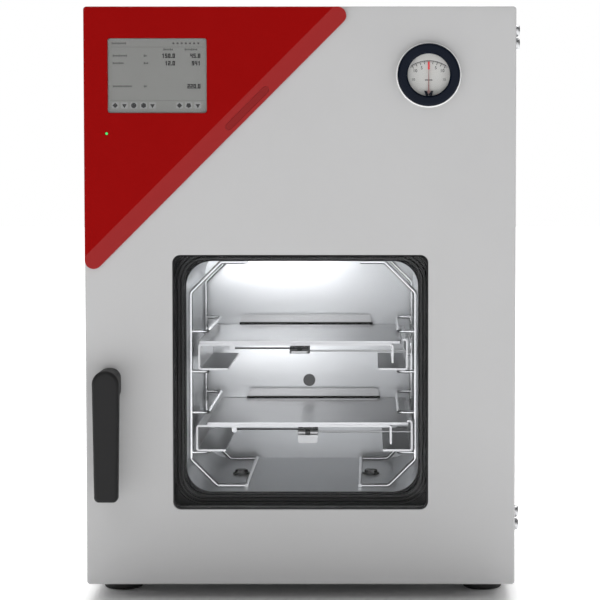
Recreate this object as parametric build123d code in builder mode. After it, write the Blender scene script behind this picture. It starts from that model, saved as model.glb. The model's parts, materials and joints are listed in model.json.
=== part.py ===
"""Bench-top vacuum drying oven: full-front door with a sprung window, lever latch, gauge and
touch controller, a stainless vacuum chamber with two wire racks, and two expanding shelves.

Axes: +X to the right, +Y to the back, +Z up. The origin is on the floor, under the middle of
the whole object. All lengths are in millimetres.
"""

from build123d import *
import math
import os

# Overall sizes
front_width = 515.0
door_height = 693.0
foot_height = 20.0
body_depth = 500.0
rear_fitting_reach = 25.0
sheet = 1.5
corner_radius = 4.0

# Door
door_depth = 54.0
door_gap = 6.0
skin_edge_round = 2.5
window_rim_round = 0.9
liner_thickness = 2.0
liner_margin = 0.5
swing_clearance = 2.0

# Chamber
chamber_size = 285.0
chamber_depth = 295.0
chamber_corner = 31.0
chamber_wall = 3.0
chamber_back_round = 6.0
flange_border = 32.5
flange_thickness = 8.0
flange_corner = 30.0
gasket_lip_margin = 0.5
gasket_inset = 1.0
gasket_width = 13.0
gasket_corner = 38.0
gasket_groove = 4.0
gasket_proud = 6.0
gasket_rib = 2.2
gasket_rib_step = 4.5
gasket_frame_gap = 1.0
mat_thickness = 2.0
cradle_height = 31.5
insulation_wall = 62.0
insulation_back = 55.0
insulation_front_gap = 2.0
port_radius = 8.0
port_drop = 35.0
screen_thickness = 1.5
screen_hole = 1.2
screen_ring_radius = 4.8

# Window in the door, and its sprung pane
window_border = 10.5
window_corner = 9.5
trim_thickness = 2.0
trim_overlap = 2.0
shield_margin = 12.0
shield_thickness = 4.0
shield_gap = 0.5
retainer_thickness = 3.0
retainer_margin = 22.0
retainer_reveal = 3.0
pane_border = 22.5
pane_corner = 24.0
pane_thickness = 14.0
pane_bevel = 1.0
pane_gap = 0.3
pane_frame_wall = 4.0
pane_frame_reveal = 2.0
pane_frame_setback = 2.0
pane_liner_gap = 5.0
guide_radius = 3.0
guide_inset = 11.0
guide_clearance = 0.3
spring_wire = 1.6
spring_radius = 5.2
spring_turns = 4

# Racks of bent rod
rod = 2.5
runner_rod = 2.2
rack_front = 98.0
rack_depth = 232.0
rack_chamfer = 33.0
rack_head_chamfer = 38.0
rack_wall_gap = 0.2
rack_foot_reach = 69.0
rack_bend = 6.0
runner_reach = 21.0
runner_heights = (53.5, 3.2, -48.0, -98.2)
floor_bolt_inset = 58.0
floor_bolt_depth = 213.0
floor_bolt_across = 15.0
floor_bolt_height = 4.0
floor_bolt_taper = 8
floor_washer_radius = 11.0
floor_washer_height = 1.5

# Expanding shelves: a plate on a tray with one fixed rail, and a second rail that a lever pushes out
shelf_sheet = 3.0
shelf_side_gap = 16.5
shelf_back_gap = 5.0
shelf_front = 88.0
shelf_corner = 2.0
rail_sheet = 2.5
rail_height = 33.0
rail_flange = 37.0
rail_length = 205.0
rail_bend = 4.0
rail_lip = 7.0
rail_lip_rise = 3.5
rail_play = 0.3
rail_setback = 1.0
tray_leg_drop = 24.0
tray_ear_height = 8.0
tray_ear_width = 6.0
stop_tab_width = 178.0
stop_tab_height = 14.0
stop_tab_sheet = 1.5
stop_tab_inset = 6.0
stop_tab_corner = 5.0
draw_rod = 1.1
draw_rod_drop = 8.6
rod_grip = 2.0
rod_offset = 1.6
clamp_width = 24.5
clamp_height = 8.0
clamp_depth = 20.0
clamp_slot = 3.6
clamp_end_wall = 1.5
lever_length = 13.0
lever_sheet = 2.5
lever_corner = 4.0
lever_pin = 1.5
lever_barrel = 3.0
lever_arm_width = 6.0
upper_travel = 6.0
lower_travel = 1.2
upper_runner = 1
lower_runner = 3
upper_plate_x = -4.0
upper_left_gap = 12.5
upper_right_gap = 12.1
upper_leg_inset = 17.8
upper_ear_inset = 42.0
lower_plate_x = 6.0
lower_left_gap = 9.5
lower_right_gap = 6.0
lower_leg_inset = 26.0
lower_ear_inset = 47.0

# Hinges
hinge_inset = 12.0
hinge_behind_front = 36.0
hinge_from_top = 36.5
hinge_from_bottom = 79.5
pin_radius = 4.5
pin_head = 2.0
pin_clearance = 0.05
tongue_thickness = 5.0
tongue_radius = 9.5
lug_gap = 0.35
lug_spine = 13.0
lug_margin = 1.0
hinge_screw_spacing = 15.7
hinge_screw_inset = 10.0
hinge_screw_radius = 7.0
hinge_screw_shank = 2.5
hinge_screw_height = 4.5
hinge_screw_round = 2.7
hinge_screw_depth = 10.0
hinge_plate_height = 60.0
hinge_plate_reach = 16.0
hinge_plate_thickness = 4.0

# Handle and latch
handle_inset = 29.0
handle_above_window_middle = 2.0
handle_top_radius = 16.0
handle_end_width = 28.0
handle_end_corner = 6.0
handle_length = 156.0
handle_thickness = 15.0
handle_front_round = 4.5
handle_back_round = 2.0
handle_standoff = 30.0
neck_width = 27.0
neck_height = 38.0
neck_drop = 3.5
neck_corner = 11.5
spindle_radius = 5.0
bush_radius = 9.0
bush_nut_border = 4.0
bush_nut_height = 4.0
bush_length = 12.0
turning_gap = 0.3
latch_length = 40.0
latch_width = 10.0
latch_thickness = 5.0
latch_slack = 0.5
latch_lead = 0.8
keeper_thickness = 3.0
keeper_border = 4.0
keeper_height_border = 15.0

# Controller cover and display
fascia_leg = 325.6
fascia_height = 10.0
fascia_edge = 2.5
fascia_margin = 1.2
fascia_corner_radius = 3.6
fascia_crown_round = 1.2
fascia_tip_radius = 10.0
bevel_width = 20.5
display_width = 117.0
display_height = 88.0
display_corner = 2.8
display_in = 87.3
display_down = 81.6
display_plug_border = 11.0
display_plug_gap = 1.0
panel_gap = 0.3
glass_thickness = 2.0
glass_sunk = 0.3
glass_round = 0.5
standoff_length = 10.0
standoff_radius = 2.5
standoff_inset = 4.0
board_thickness = 1.6
chip_width = 18.0
chip_depth = 14.0
chip_height = 3.0
chip_spacing = 36.0
led_in = 27.0
led_down = 150.1
led_radius = 1.5
led_proud = 0.3
port_slot_length = 70.0
port_slot_width = 8.6
port_slot_depth = 4.0
port_along = 52.0
port_in = 12.9
socket_width = 15.0
socket_height = 6.5
socket_wall = 1.0
cover_thickness = 1.5
cover_gap = 0.3
cover_back_gap = 0.4

# Gauge
gauge_in = 104.3
gauge_down = 81.5
gauge_flange_radius = 37.3
gauge_face_radius = 25.2
gauge_body_radius = 31.0
gauge_wall = 2.0
gauge_depth = 36.0
gauge_proud = 9.0
gauge_front_round = 3.5
gauge_inner_bevel = 2.0
gauge_stem_radius = 5.0
gauge_stem_length = 8.0
gauge_pivot_drop = 21.0
gauge_dial_depth = 2.0
gauge_dial_thickness = 1.0
gauge_lens_sunk = 3.0
gauge_lens_thickness = 2.0
pointer_length = 35.0
pointer_width = 1.8
pointer_tip_width = 0.3
pointer_thickness = 0.8
pointer_gap = 1.4
pointer_hub = 2.6
pointer_shaft = 1.3

# Base, feet, rear fittings
base_sheet = 3.0
side_edge_round = 1.3
pass_gap = 1.0
support_inset = 90.0
support_width = 40.0
support_front_gap = 20.0
support_length = 280.0
vent_inset = 70.0
vent_drop = 60.0
vent_spacing = 12.0
vent_count = 6
vent_length = 50.0
vent_width = 4.0
foot_radius = 24.0
foot_inset = 34.5
foot_front_inset = 25.0
foot_rear_inset = 35.0
foot_low_round = 4.0
foot_top_round = 1.0
pipe_wall = 2.0
flange_ring_radius = 15.0
flange_ring_thickness = 3.0
flange_ring_bevel = 1.2
gas_port_spacing = 70.0
gas_pipe_radius = 4.0
gas_pipe_wall = 1.5
nipple_radius = 4.5
nipple_hex_radius = 9.0
nipple_hex_height = 4.0
barb_count = 3
barb_taper = 6
nipple_tip = 1.0
valve_size = 36.0
coil_border = 3.0
coil_height = 36.0
inlet_inset = 67.5
inlet_up = 55.0
inlet_width = 27.0
inlet_height = 19.5
inlet_depth = 16.0
inlet_wall = 2.0
inlet_border = 5.0
inlet_plate = 2.5
inlet_pin_spacing = 7.0
inlet_pin_width = 2.0
inlet_pin_height = 4.0
switch_up = 98.0
switch_width = 21.0
switch_height = 28.0
switch_border = 2.0
switch_wall = 1.0
rocker_gap = 0.5
rocker_end_gap = 2.0
rocker_low = 1.0
rocker_middle = 2.2
rocker_high = 5.2
rocker_depth = 3.0
rocker_round = 0.8

# Planes and places worked out from the sizes above
half_width = front_width / 2
handle_reach = handle_standoff + handle_thickness
door_front_y = (handle_reach - body_depth - rear_fitting_reach) / 2
door_mid_z = foot_height + door_height / 2
body_top = foot_height + door_height
door_back_y = door_front_y + door_depth
liner_front_y = door_back_y - liner_thickness
cabinet_front_y = door_back_y + door_gap
cabinet_back_y = door_front_y + body_depth
skin_inner_y = door_front_y + sheet
flange_front_y = cabinet_front_y + sheet
flange_back_y = flange_front_y + flange_thickness
chamber_back_y = cabinet_front_y + chamber_depth
chamber_outer_back_y = chamber_back_y + chamber_wall
wool_inner = chamber_size + 2 * chamber_wall + 2 * mat_thickness
wool_outer = wool_inner + 2 * insulation_wall
chamber_mid_z = foot_height + base_sheet + cradle_height + wool_outer / 2
chamber_floor_z = chamber_mid_z - chamber_size / 2
chamber_ceiling_z = chamber_mid_z + chamber_size / 2
gasket_inner = chamber_size + 2 * gasket_inset
gasket_outer = gasket_inner + 2 * gasket_width
gasket_front_y = cabinet_front_y - gasket_proud
gasket_back_y = flange_front_y + gasket_groove
window_size = chamber_size + 2 * window_border
pane_size = chamber_size + 2 * pane_border
pane_opening = pane_size + 2 * pane_liner_gap
pane_back_y = gasket_front_y - pane_gap
pane_front_y = pane_back_y - pane_thickness
trim_back_y = skin_inner_y + trim_thickness
shield_back_y = trim_back_y + shield_thickness
retainer_back_y = shield_back_y + retainer_thickness
shield_size = window_size + 2 * shield_margin
retainer_size = window_size + 2 * retainer_margin
guide_spread = retainer_size / 2 - guide_inset
hinge_x = half_width - hinge_inset
hinge_y = door_front_y + hinge_behind_front
hinge_heights = (body_top - hinge_from_top, foot_height + hinge_from_bottom)
screw_y = door_front_y + hinge_screw_inset
handle_x = -half_width + handle_inset
handle_z = chamber_mid_z + handle_above_window_middle
corner_x = -half_width + fascia_margin
corner_z = body_top - fascia_margin
display_x = corner_x + display_in
display_z = corner_z - display_down
led_x = corner_x + led_in
led_z = corner_z - led_down
gauge_x = half_width - gauge_in
gauge_z = body_top - gauge_down
rack_front_y = door_front_y + rack_front
rack_back_y = rack_front_y + rack_depth
shelf_front_y = door_front_y + shelf_front
shelf_back_y = chamber_back_y - shelf_back_gap
shelf_width = chamber_size - 2 * shelf_side_gap
port_z = chamber_mid_z - port_drop
gas_port_x = -gas_port_spacing
inlet_x = -half_width + inlet_inset
inlet_z = foot_height + inlet_up
switch_z = foot_height + switch_up
flange_size = chamber_size + 2 * flange_border
frame_opening = gasket_outer + 2 * gasket_frame_gap
support_x = half_width - support_inset
support_front_y = flange_back_y + support_front_gap
foot_x = half_width - foot_inset
foot_front_y = cabinet_front_y + foot_front_inset
foot_rear_y = cabinet_back_y - foot_rear_inset
floor_bolt_x = chamber_size / 2 - floor_bolt_inset
floor_bolt_y = door_front_y + floor_bolt_depth
plug_width = display_width - 2 * display_plug_border
plug_height = display_height - 2 * display_plug_border


def facing(y):
    """Plane across the oven at depth y: local x is world X, local y is world Z, normal to the front."""
    return Plane.XZ.offset(-y)


def level(z):
    """Plane flat at height z."""
    return Plane.XY.offset(z)


def save(piece, name):
    """Labels a finished piece and writes it as a node of that name."""
    piece.part.label = name
    export_step(piece.part, f"parts/{name}.step")


os.makedirs("parts", exist_ok=True)

# Door skin: a folded tray with the window, gauge, controller and spindle openings
hinge_notch_height = tongue_thickness + 2 * swing_clearance
hinge_notch_front_y = hinge_y - tongue_radius - 4 * swing_clearance
with BuildPart() as door_skin:
    with BuildSketch(facing(liner_front_y)):
        with Locations((0, door_mid_z)):
            RectangleRounded(front_width, door_height, corner_radius)
    extrude(amount=liner_front_y - door_front_y)
    fillet(door_skin.faces().sort_by(Axis.Y)[0].edges(), skin_edge_round)
    offset(amount=-sheet, openings=door_skin.faces().sort_by(Axis.Y)[-1])
    with BuildSketch(facing(skin_inner_y)):
        with Locations((0, chamber_mid_z)):
            RectangleRounded(window_size, window_size, window_corner)
        with Locations((gauge_x, gauge_z)):
            Circle(gauge_body_radius + panel_gap)
        with Locations((display_x, display_z)):
            RectangleRounded(
                plug_width + 2 * display_plug_gap, plug_height + 2 * display_plug_gap, corner_radius
            )
        with Locations((handle_x, handle_z)):
            Circle(bush_radius)
    extrude(amount=sheet, mode=Mode.SUBTRACT)
    for z in hinge_heights:
        with BuildSketch(Plane.YZ.offset(half_width)):
            with Locations(((hinge_notch_front_y + liner_front_y) / 2, z)):
                Rectangle(liner_front_y - hinge_notch_front_y, hinge_notch_height)
        extrude(amount=-2 * sheet, mode=Mode.SUBTRACT)
        with BuildSketch(Plane.YZ.offset(half_width)):
            with Locations((screw_y, z)):
                with GridLocations(0, hinge_screw_spacing, 1, 2):
                    Circle(hinge_screw_shank)
        extrude(amount=-2 * sheet, mode=Mode.SUBTRACT)
    rim = door_skin.edges().filter_by_position(
        Axis.Y, door_front_y - 0.01, door_front_y + 0.01
    ).filter_by_position(Axis.X, -window_size / 2 - 1, window_size / 2 + 1)
    window_rim = rim.filter_by_position(
        Axis.Z, chamber_mid_z - window_size / 2 - 1, chamber_mid_z + window_size / 2 + 1
    )
    fillet(window_rim, window_rim_round)
save(door_skin, "door_skin")

# Door liner: the inner panel, with a stiffening rim round the sprung pane
with BuildPart() as door_liner:
    with BuildSketch(facing(door_back_y)):
        with Locations((0, door_mid_z)):
            RectangleRounded(
                front_width - 2 * liner_margin, door_height - 2 * liner_margin, corner_radius
            )
        with Locations((0, chamber_mid_z)):
            RectangleRounded(pane_opening, pane_opening, pane_corner, mode=Mode.SUBTRACT)
        with Locations((handle_x, handle_z)):
            Circle(spindle_radius + turning_gap, mode=Mode.SUBTRACT)
    extrude(amount=liner_thickness)
    for z in hinge_heights:
        with BuildSketch(facing(door_back_y)):
            with Locations((hinge_x + hinge_inset / 2, z)):
                Rectangle(hinge_inset + 2 * tongue_radius + 2 * swing_clearance, hinge_notch_height)
        extrude(amount=liner_thickness, mode=Mode.SUBTRACT)
save(door_liner, "door_liner")

# Window seal, clear outer shield, and the frame that clamps the shield to the skin
with BuildPart() as window_trim:
    with BuildSketch(facing(trim_back_y)):
        with Locations((0, chamber_mid_z)):
            RectangleRounded(shield_size, shield_size, window_corner + shield_margin)
            RectangleRounded(
                window_size - 2 * trim_overlap,
                window_size - 2 * trim_overlap,
                window_corner,
                mode=Mode.SUBTRACT,
            )
    extrude(amount=trim_thickness)
save(window_trim, "window_trim")

with BuildPart() as shatter_shield:
    with BuildSketch(facing(shield_back_y)):
        with Locations((0, chamber_mid_z)):
            RectangleRounded(shield_size, shield_size, window_corner + shield_margin)
    extrude(amount=shield_thickness)
save(shatter_shield, "shatter_shield")

with BuildPart() as shield_retainer:
    with BuildSketch(facing(retainer_back_y)):
        with Locations((0, chamber_mid_z)):
            RectangleRounded(retainer_size, retainer_size, window_corner)
            RectangleRounded(
                window_size + 2 * retainer_reveal,
                window_size + 2 * retainer_reveal,
                window_corner,
                mode=Mode.SUBTRACT,
            )
    extrude(amount=retainer_thickness)
    with BuildSketch(facing(shield_back_y)):
        with Locations((0, chamber_mid_z)):
            RectangleRounded(retainer_size, retainer_size, window_corner)
            RectangleRounded(
                shield_size + 2 * shield_gap,
                shield_size + 2 * shield_gap,
                window_corner + shield_margin,
                mode=Mode.SUBTRACT,
            )
    extrude(amount=shield_back_y - skin_inner_y)
save(shield_retainer, "shield_retainer")

# Sprung pane: thick glass in an aluminium frame with four guided ears
pane_frame_front_y = pane_front_y - pane_frame_wall
pane_frame_size = pane_size + 2 * pane_frame_wall
ear_size = 2 * (retainer_size / 2 - guide_spread)
with BuildPart() as window_glass:
    with BuildSketch(facing(pane_back_y)):
        with Locations((0, chamber_mid_z)):
            RectangleRounded(pane_size, pane_size, pane_corner)
    extrude(amount=pane_thickness)
    chamfer(window_glass.faces().sort_by(Axis.Y)[-1].edges(), pane_bevel)
save(window_glass, "window_glass")

pane_frame_back_y = liner_front_y - pane_frame_setback
with BuildPart() as pane_frame:
    with BuildSketch(facing(pane_frame_back_y)):
        with Locations((0, chamber_mid_z)):
            RectangleRounded(pane_frame_size, pane_frame_size, pane_corner + pane_frame_wall)
            RectangleRounded(pane_size, pane_size, pane_corner, mode=Mode.SUBTRACT)
    extrude(amount=pane_frame_back_y - pane_front_y)
    with BuildSketch(facing(pane_front_y)):
        with Locations((0, chamber_mid_z)):
            RectangleRounded(pane_frame_size, pane_frame_size, pane_corner + pane_frame_wall)
            with GridLocations(2 * guide_spread, 2 * guide_spread, 2, 2):
                RectangleRounded(ear_size, ear_size, corner_radius)
                Circle(guide_radius + guide_clearance, mode=Mode.SUBTRACT)
            RectangleRounded(
                window_size + 2 * pane_frame_reveal,
                window_size + 2 * pane_frame_reveal,
                window_corner,
                mode=Mode.SUBTRACT,
            )
    extrude(amount=pane_frame_wall)
save(pane_frame, "pane_frame")

with BuildPart() as pane_guides:
    with BuildSketch(facing(liner_front_y)):
        with Locations((0, chamber_mid_z)):
            with GridLocations(2 * guide_spread, 2 * guide_spread, 2, 2):
                Circle(guide_radius)
    extrude(amount=liner_front_y - retainer_back_y)
save(pane_guides, "pane_guides")

spring_length = pane_frame_front_y - retainer_back_y
spring_pitch = (spring_length - 2 * spring_wire) / spring_turns
with BuildPart() as pane_springs:
    for sx in (-1, 1):
        for sz in (-1, 1):
            coil_foot = (
                sx * guide_spread, retainer_back_y + spring_wire, chamber_mid_z + sz * guide_spread
            )
            with BuildLine():
                coil = Helix(
                    spring_pitch,
                    spring_pitch * spring_turns,
                    spring_radius,
                    center=coil_foot,
                    direction=(0, 1, 0),
                )
            with BuildSketch(Plane(coil @ 0, z_dir=coil % 0)):
                Circle(spring_wire / 2)
            sweep(path=coil)
save(pane_springs, "pane_springs")

# Controller cover: a triangle over the upper left corner, with a sloped edge along its long side
fascia_front_y = door_front_y - fascia_height
long_side = Vector(1, 0, 1).normalized()
outward = Vector(1, 0, -1).normalized()
long_side_middle = Vector(corner_x + fascia_leg / 2, 0, corner_z - fascia_leg / 2)
bevel_top = long_side_middle - outward * bevel_width + Vector(0, fascia_front_y, 0)
bevel_drop = fascia_height - fascia_edge
down_slope = (outward * bevel_width + Vector(0, bevel_drop, 0)).normalized()
slope_normal = down_slope.cross(long_side).normalized()


def on_slope(along, across, depth=0.0):
    """Plane parallel to the sloped edge, its origin moved along, down and into the slope."""
    spot = bevel_top + long_side * along + down_slope * across - slope_normal * depth
    return Plane(origin=spot, x_dir=long_side, z_dir=slope_normal)


with BuildPart() as control_fascia:
    with BuildSketch(facing(door_front_y)) as fascia_outline:
        with BuildLine():
            Polyline(
                (corner_x, corner_z),
                (corner_x, corner_z - fascia_leg),
                (corner_x + fascia_leg, corner_z),
                close=True,
            )
        make_face()
        corners = fascia_outline.vertices()
        fillet(corners.sort_by(Axis.X)[-1:] + corners.sort_by(Axis.Y)[:1], fascia_tip_radius)
        square_corner = fascia_outline.vertices().filter_by_position(
            Axis.X, corner_x - 1, corner_x + 1
        ).filter_by_position(Axis.Y, corner_z - 1, corner_z + 1)
        fillet(square_corner, fascia_corner_radius)
    extrude(amount=fascia_height)
    with BuildSketch(Plane(origin=bevel_top, x_dir=outward, z_dir=long_side)):
        with BuildLine():
            Polyline(
                (0, 0),
                (2 * bevel_width, 2 * bevel_drop),
                (2 * bevel_width, -fascia_height),
                (0, -fascia_height),
                close=True,
            )
        make_face()
    extrude(amount=fascia_leg, both=True, mode=Mode.SUBTRACT)
    crown = control_fascia.faces().filter_by(Axis.Y).sort_by(Axis.Y)[0]
    fillet(crown.edges(), fascia_crown_round)
    with BuildSketch(facing(door_front_y)):
        with Locations((display_x, display_z)):
            RectangleRounded(
                display_width + 2 * panel_gap, display_height + 2 * panel_gap, display_corner + panel_gap
            )
        with Locations((led_x, led_z)):
            Circle(led_radius + panel_gap)
    extrude(amount=fascia_height, mode=Mode.SUBTRACT)
    with BuildSketch(on_slope(port_along, port_in)):
        SlotOverall(port_slot_length, port_slot_width)
    extrude(amount=-port_slot_depth, mode=Mode.SUBTRACT)
save(control_fascia, "control_fascia")

with BuildPart() as touch_glass:
    with BuildSketch(facing(fascia_front_y + glass_thickness + glass_sunk)):
        with Locations((display_x, display_z)):
            RectangleRounded(display_width, display_height, display_corner)
    extrude(amount=glass_thickness)
    fillet(touch_glass.faces().sort_by(Axis.Y)[0].edges(), glass_round)
save(touch_glass, "touch_glass")

with BuildPart() as display_module:
    with BuildSketch(facing(skin_inner_y)):
        with Locations((display_x, display_z)):
            RectangleRounded(plug_width, plug_height, corner_radius)
    extrude(amount=sheet)
    with BuildSketch(facing(door_front_y)):
        with Locations((display_x, display_z)):
            RectangleRounded(display_width, display_height, display_corner)
    extrude(amount=fascia_height - glass_thickness - glass_sunk)
save(display_module, "display_module")

board_front_y = skin_inner_y + standoff_length
with BuildPart() as controller_board:
    with BuildSketch(facing(board_front_y + board_thickness)):
        with Locations((display_x, display_z)):
            Rectangle(display_width, display_height)
    extrude(amount=board_thickness)
    with BuildSketch(facing(board_front_y)):
        with Locations((display_x, display_z)):
            with GridLocations(
                display_width - 2 * standoff_inset, display_height - 2 * standoff_inset, 2, 2
            ):
                Circle(standoff_radius)
    extrude(amount=standoff_length)
    with BuildSketch(facing(board_front_y + board_thickness)):
        with Locations((display_x, display_z)):
            with GridLocations(chip_spacing, chip_spacing, 3, 2):
                Rectangle(chip_width, chip_depth)
    extrude(amount=-chip_height)
save(controller_board, "controller_board")

with BuildPart() as status_led:
    with BuildSketch(facing(door_front_y)):
        with Locations((led_x, led_z)):
            Circle(led_radius)
    extrude(amount=fascia_height + led_proud)
    fillet(status_led.faces().sort_by(Axis.Y)[0].edges(), led_radius / 2)
save(status_led, "status_led")

with BuildPart() as usb_socket:
    with BuildSketch(on_slope(port_along, port_in, port_slot_depth)):
        Rectangle(socket_width, socket_height)
        Rectangle(socket_width - 2 * socket_wall, socket_height - 2 * socket_wall, mode=Mode.SUBTRACT)
    extrude(amount=port_slot_depth - cover_thickness - cover_back_gap)
save(usb_socket, "usb_socket")

cover_width = port_slot_width - 2 * cover_gap
with BuildPart() as port_cover:
    with BuildSketch(on_slope(port_along, port_in, cover_thickness)):
        SlotOverall(port_slot_length - 2 * cover_gap, cover_width)
    extrude(amount=cover_thickness)
    hinge_corner = on_slope(port_along, port_in + cover_width / 2)
    with BuildSketch(Plane(origin=hinge_corner.origin, x_dir=down_slope, z_dir=long_side)):
        with BuildLine():
            Polyline(
                (0, 0),
                (-2 * cover_thickness, 2 * cover_thickness),
                (0, 2 * cover_thickness),
                close=True,
            )
        make_face()
    extrude(amount=port_slot_length, both=True, mode=Mode.SUBTRACT)
save(port_cover, "port_cover")

# Vacuum gauge in the upper right of the door
gauge_front_y = door_front_y - gauge_proud
gauge_back_y = door_front_y + gauge_depth
dial_back_y = door_front_y + gauge_dial_depth
dial_front_y = dial_back_y - gauge_dial_thickness
pivot_z = gauge_z - gauge_pivot_drop
lens_back_y = gauge_front_y + gauge_lens_sunk + gauge_lens_thickness
with BuildPart() as gauge_case:
    with BuildSketch(facing(door_front_y)):
        with Locations((gauge_x, gauge_z)):
            Circle(gauge_flange_radius)
    extrude(amount=gauge_proud)
    fillet(gauge_case.faces().sort_by(Axis.Y)[0].edges(), gauge_front_round)
    with BuildSketch(facing(gauge_back_y)):
        with Locations((gauge_x, gauge_z)):
            Circle(gauge_body_radius)
    extrude(amount=gauge_depth)
    with BuildSketch(facing(dial_back_y)):
        with Locations((gauge_x, gauge_z)):
            Circle(gauge_body_radius - gauge_wall)
    extrude(amount=gauge_dial_depth, mode=Mode.SUBTRACT)
    with BuildSketch(facing(door_front_y)):
        with Locations((gauge_x, gauge_z)):
            Circle(gauge_face_radius)
    extrude(amount=gauge_proud, mode=Mode.SUBTRACT)
    face_rim = gauge_case.faces().filter_by(Axis.Y).sort_by(Axis.Y)[0].edges().sort_by(SortBy.LENGTH)[0]
    chamfer(face_rim, gauge_inner_bevel)
    with BuildSketch(facing(gauge_back_y)):
        with Locations((gauge_x, pivot_z)):
            Circle(gauge_stem_radius)
    extrude(amount=-gauge_stem_length)
    with BuildSketch(facing(dial_back_y)):
        with Locations((gauge_x, pivot_z)):
            Circle(pointer_shaft + pin_clearance)
    extrude(amount=-gauge_stem_length, mode=Mode.SUBTRACT)
save(gauge_case, "gauge_case")

with BuildPart() as gauge_dial:
    with BuildSketch(facing(dial_back_y)):
        with Locations((gauge_x, gauge_z)):
            Circle(gauge_body_radius - gauge_wall)
        with Locations((gauge_x, pivot_z)):
            Circle(pointer_shaft + pin_clearance, mode=Mode.SUBTRACT)
    extrude(amount=gauge_dial_thickness)
save(gauge_dial, "gauge_dial")

pointer_back_y = dial_front_y - pointer_gap
with BuildPart() as gauge_pointer:
    with BuildSketch(facing(pointer_back_y)):
        with Locations((gauge_x, pivot_z)):
            Circle(pointer_hub)
        with BuildLine():
            Polyline(
                (gauge_x - pointer_width / 2, pivot_z),
                (gauge_x - pointer_tip_width / 2, pivot_z + pointer_length),
                (gauge_x + pointer_tip_width / 2, pivot_z + pointer_length),
                (gauge_x + pointer_width / 2, pivot_z),
                close=True,
            )
        make_face()
    extrude(amount=pointer_thickness)
    with BuildSketch(facing(pointer_back_y)):
        with Locations((gauge_x, pivot_z)):
            Circle(pointer_shaft)
    extrude(amount=-(dial_back_y + gauge_stem_length / 2 - pointer_back_y))
save(gauge_pointer, "gauge_pointer")

with BuildPart() as gauge_lens:
    with BuildSketch(facing(lens_back_y)):
        with Locations((gauge_x, gauge_z)):
            Circle(gauge_face_radius)
    extrude(amount=gauge_lens_thickness)
save(gauge_lens, "gauge_lens")

# Handle, spindle and latch
neck_back_y = door_front_y - turning_gap
lever_back_y = door_front_y - handle_standoff
keeper_back_y = flange_front_y + keeper_thickness
latch_front_y = keeper_back_y + latch_slack
latch_back_y = latch_front_y + latch_thickness
with BuildPart() as handle_lever:
    with BuildSketch(facing(lever_back_y)) as lever_outline:
        with BuildLine():
            top = CenterArc((handle_x, handle_z), handle_top_radius, 0, 180)
            Polyline(
                top @ 1,
                (handle_x - handle_end_width / 2, handle_z + handle_top_radius - handle_length),
                (handle_x + handle_end_width / 2, handle_z + handle_top_radius - handle_length),
                top @ 0,
            )
        make_face()
        fillet(lever_outline.vertices().sort_by(Axis.Y)[0:2], handle_end_corner)
    extrude(amount=handle_thickness)
    fillet(handle_lever.faces().sort_by(Axis.Y)[0].edges(), handle_front_round)
    fillet(handle_lever.faces().sort_by(Axis.Y)[-1].edges(), handle_back_round)
    with BuildSketch(facing(neck_back_y)):
        with Locations((handle_x, handle_z - neck_drop)):
            RectangleRounded(neck_width, neck_height, neck_corner)
    extrude(amount=neck_back_y - lever_back_y + handle_back_round)
    with BuildSketch(facing(neck_back_y)):
        with Locations((handle_x, handle_z)):
            Circle(spindle_radius)
    extrude(amount=handle_standoff, mode=Mode.SUBTRACT)
save(handle_lever, "handle_lever")

with BuildPart() as handle_spindle:
    with BuildSketch(facing(latch_back_y)):
        with Locations((handle_x, handle_z)):
            Circle(spindle_radius)
    extrude(amount=latch_back_y - (neck_back_y - handle_standoff))
save(handle_spindle, "handle_spindle")

with BuildPart() as spindle_bush:
    with BuildSketch(facing(skin_inner_y + bush_length)):
        with Locations((handle_x, handle_z)):
            Circle(bush_radius)
    extrude(amount=bush_length + sheet)
    with BuildSketch(facing(skin_inner_y + bush_nut_height)):
        with Locations((handle_x, handle_z)):
            RegularPolygon(bush_radius + bush_nut_border, 6)
    extrude(amount=bush_nut_height)
    with Locations(Plane(origin=(handle_x, door_front_y, handle_z), z_dir=(0, -1, 0))):
        Hole(spindle_radius + pin_clearance)
save(spindle_bush, "spindle_bush")

with BuildPart() as latch_tongue:
    with BuildSketch(facing(latch_back_y)):
        with Locations((handle_x, handle_z)):
            SlotOverall(latch_length, latch_width, rotation=90)
            Circle(bush_radius)
            Circle(spindle_radius, mode=Mode.SUBTRACT)
    extrude(amount=latch_thickness)
    chamfer(latch_tongue.faces().sort_by(Axis.Y)[0].edges().sort_by(SortBy.LENGTH)[-2:], latch_lead)
save(latch_tongue, "latch_tongue")

slot_length = latch_length + 2 * swing_clearance
slot_width = 2 * bush_radius + 2 * swing_clearance
with BuildPart() as latch_keeper:
    with BuildSketch(facing(keeper_back_y)):
        with Locations((handle_x, handle_z)):
            RectangleRounded(
                slot_length + 2 * keeper_border, slot_width + 2 * keeper_height_border, keeper_border
            )
            SlotOverall(slot_length, slot_width, mode=Mode.SUBTRACT)
    extrude(amount=keeper_thickness)
save(latch_keeper, "latch_keeper")

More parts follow.
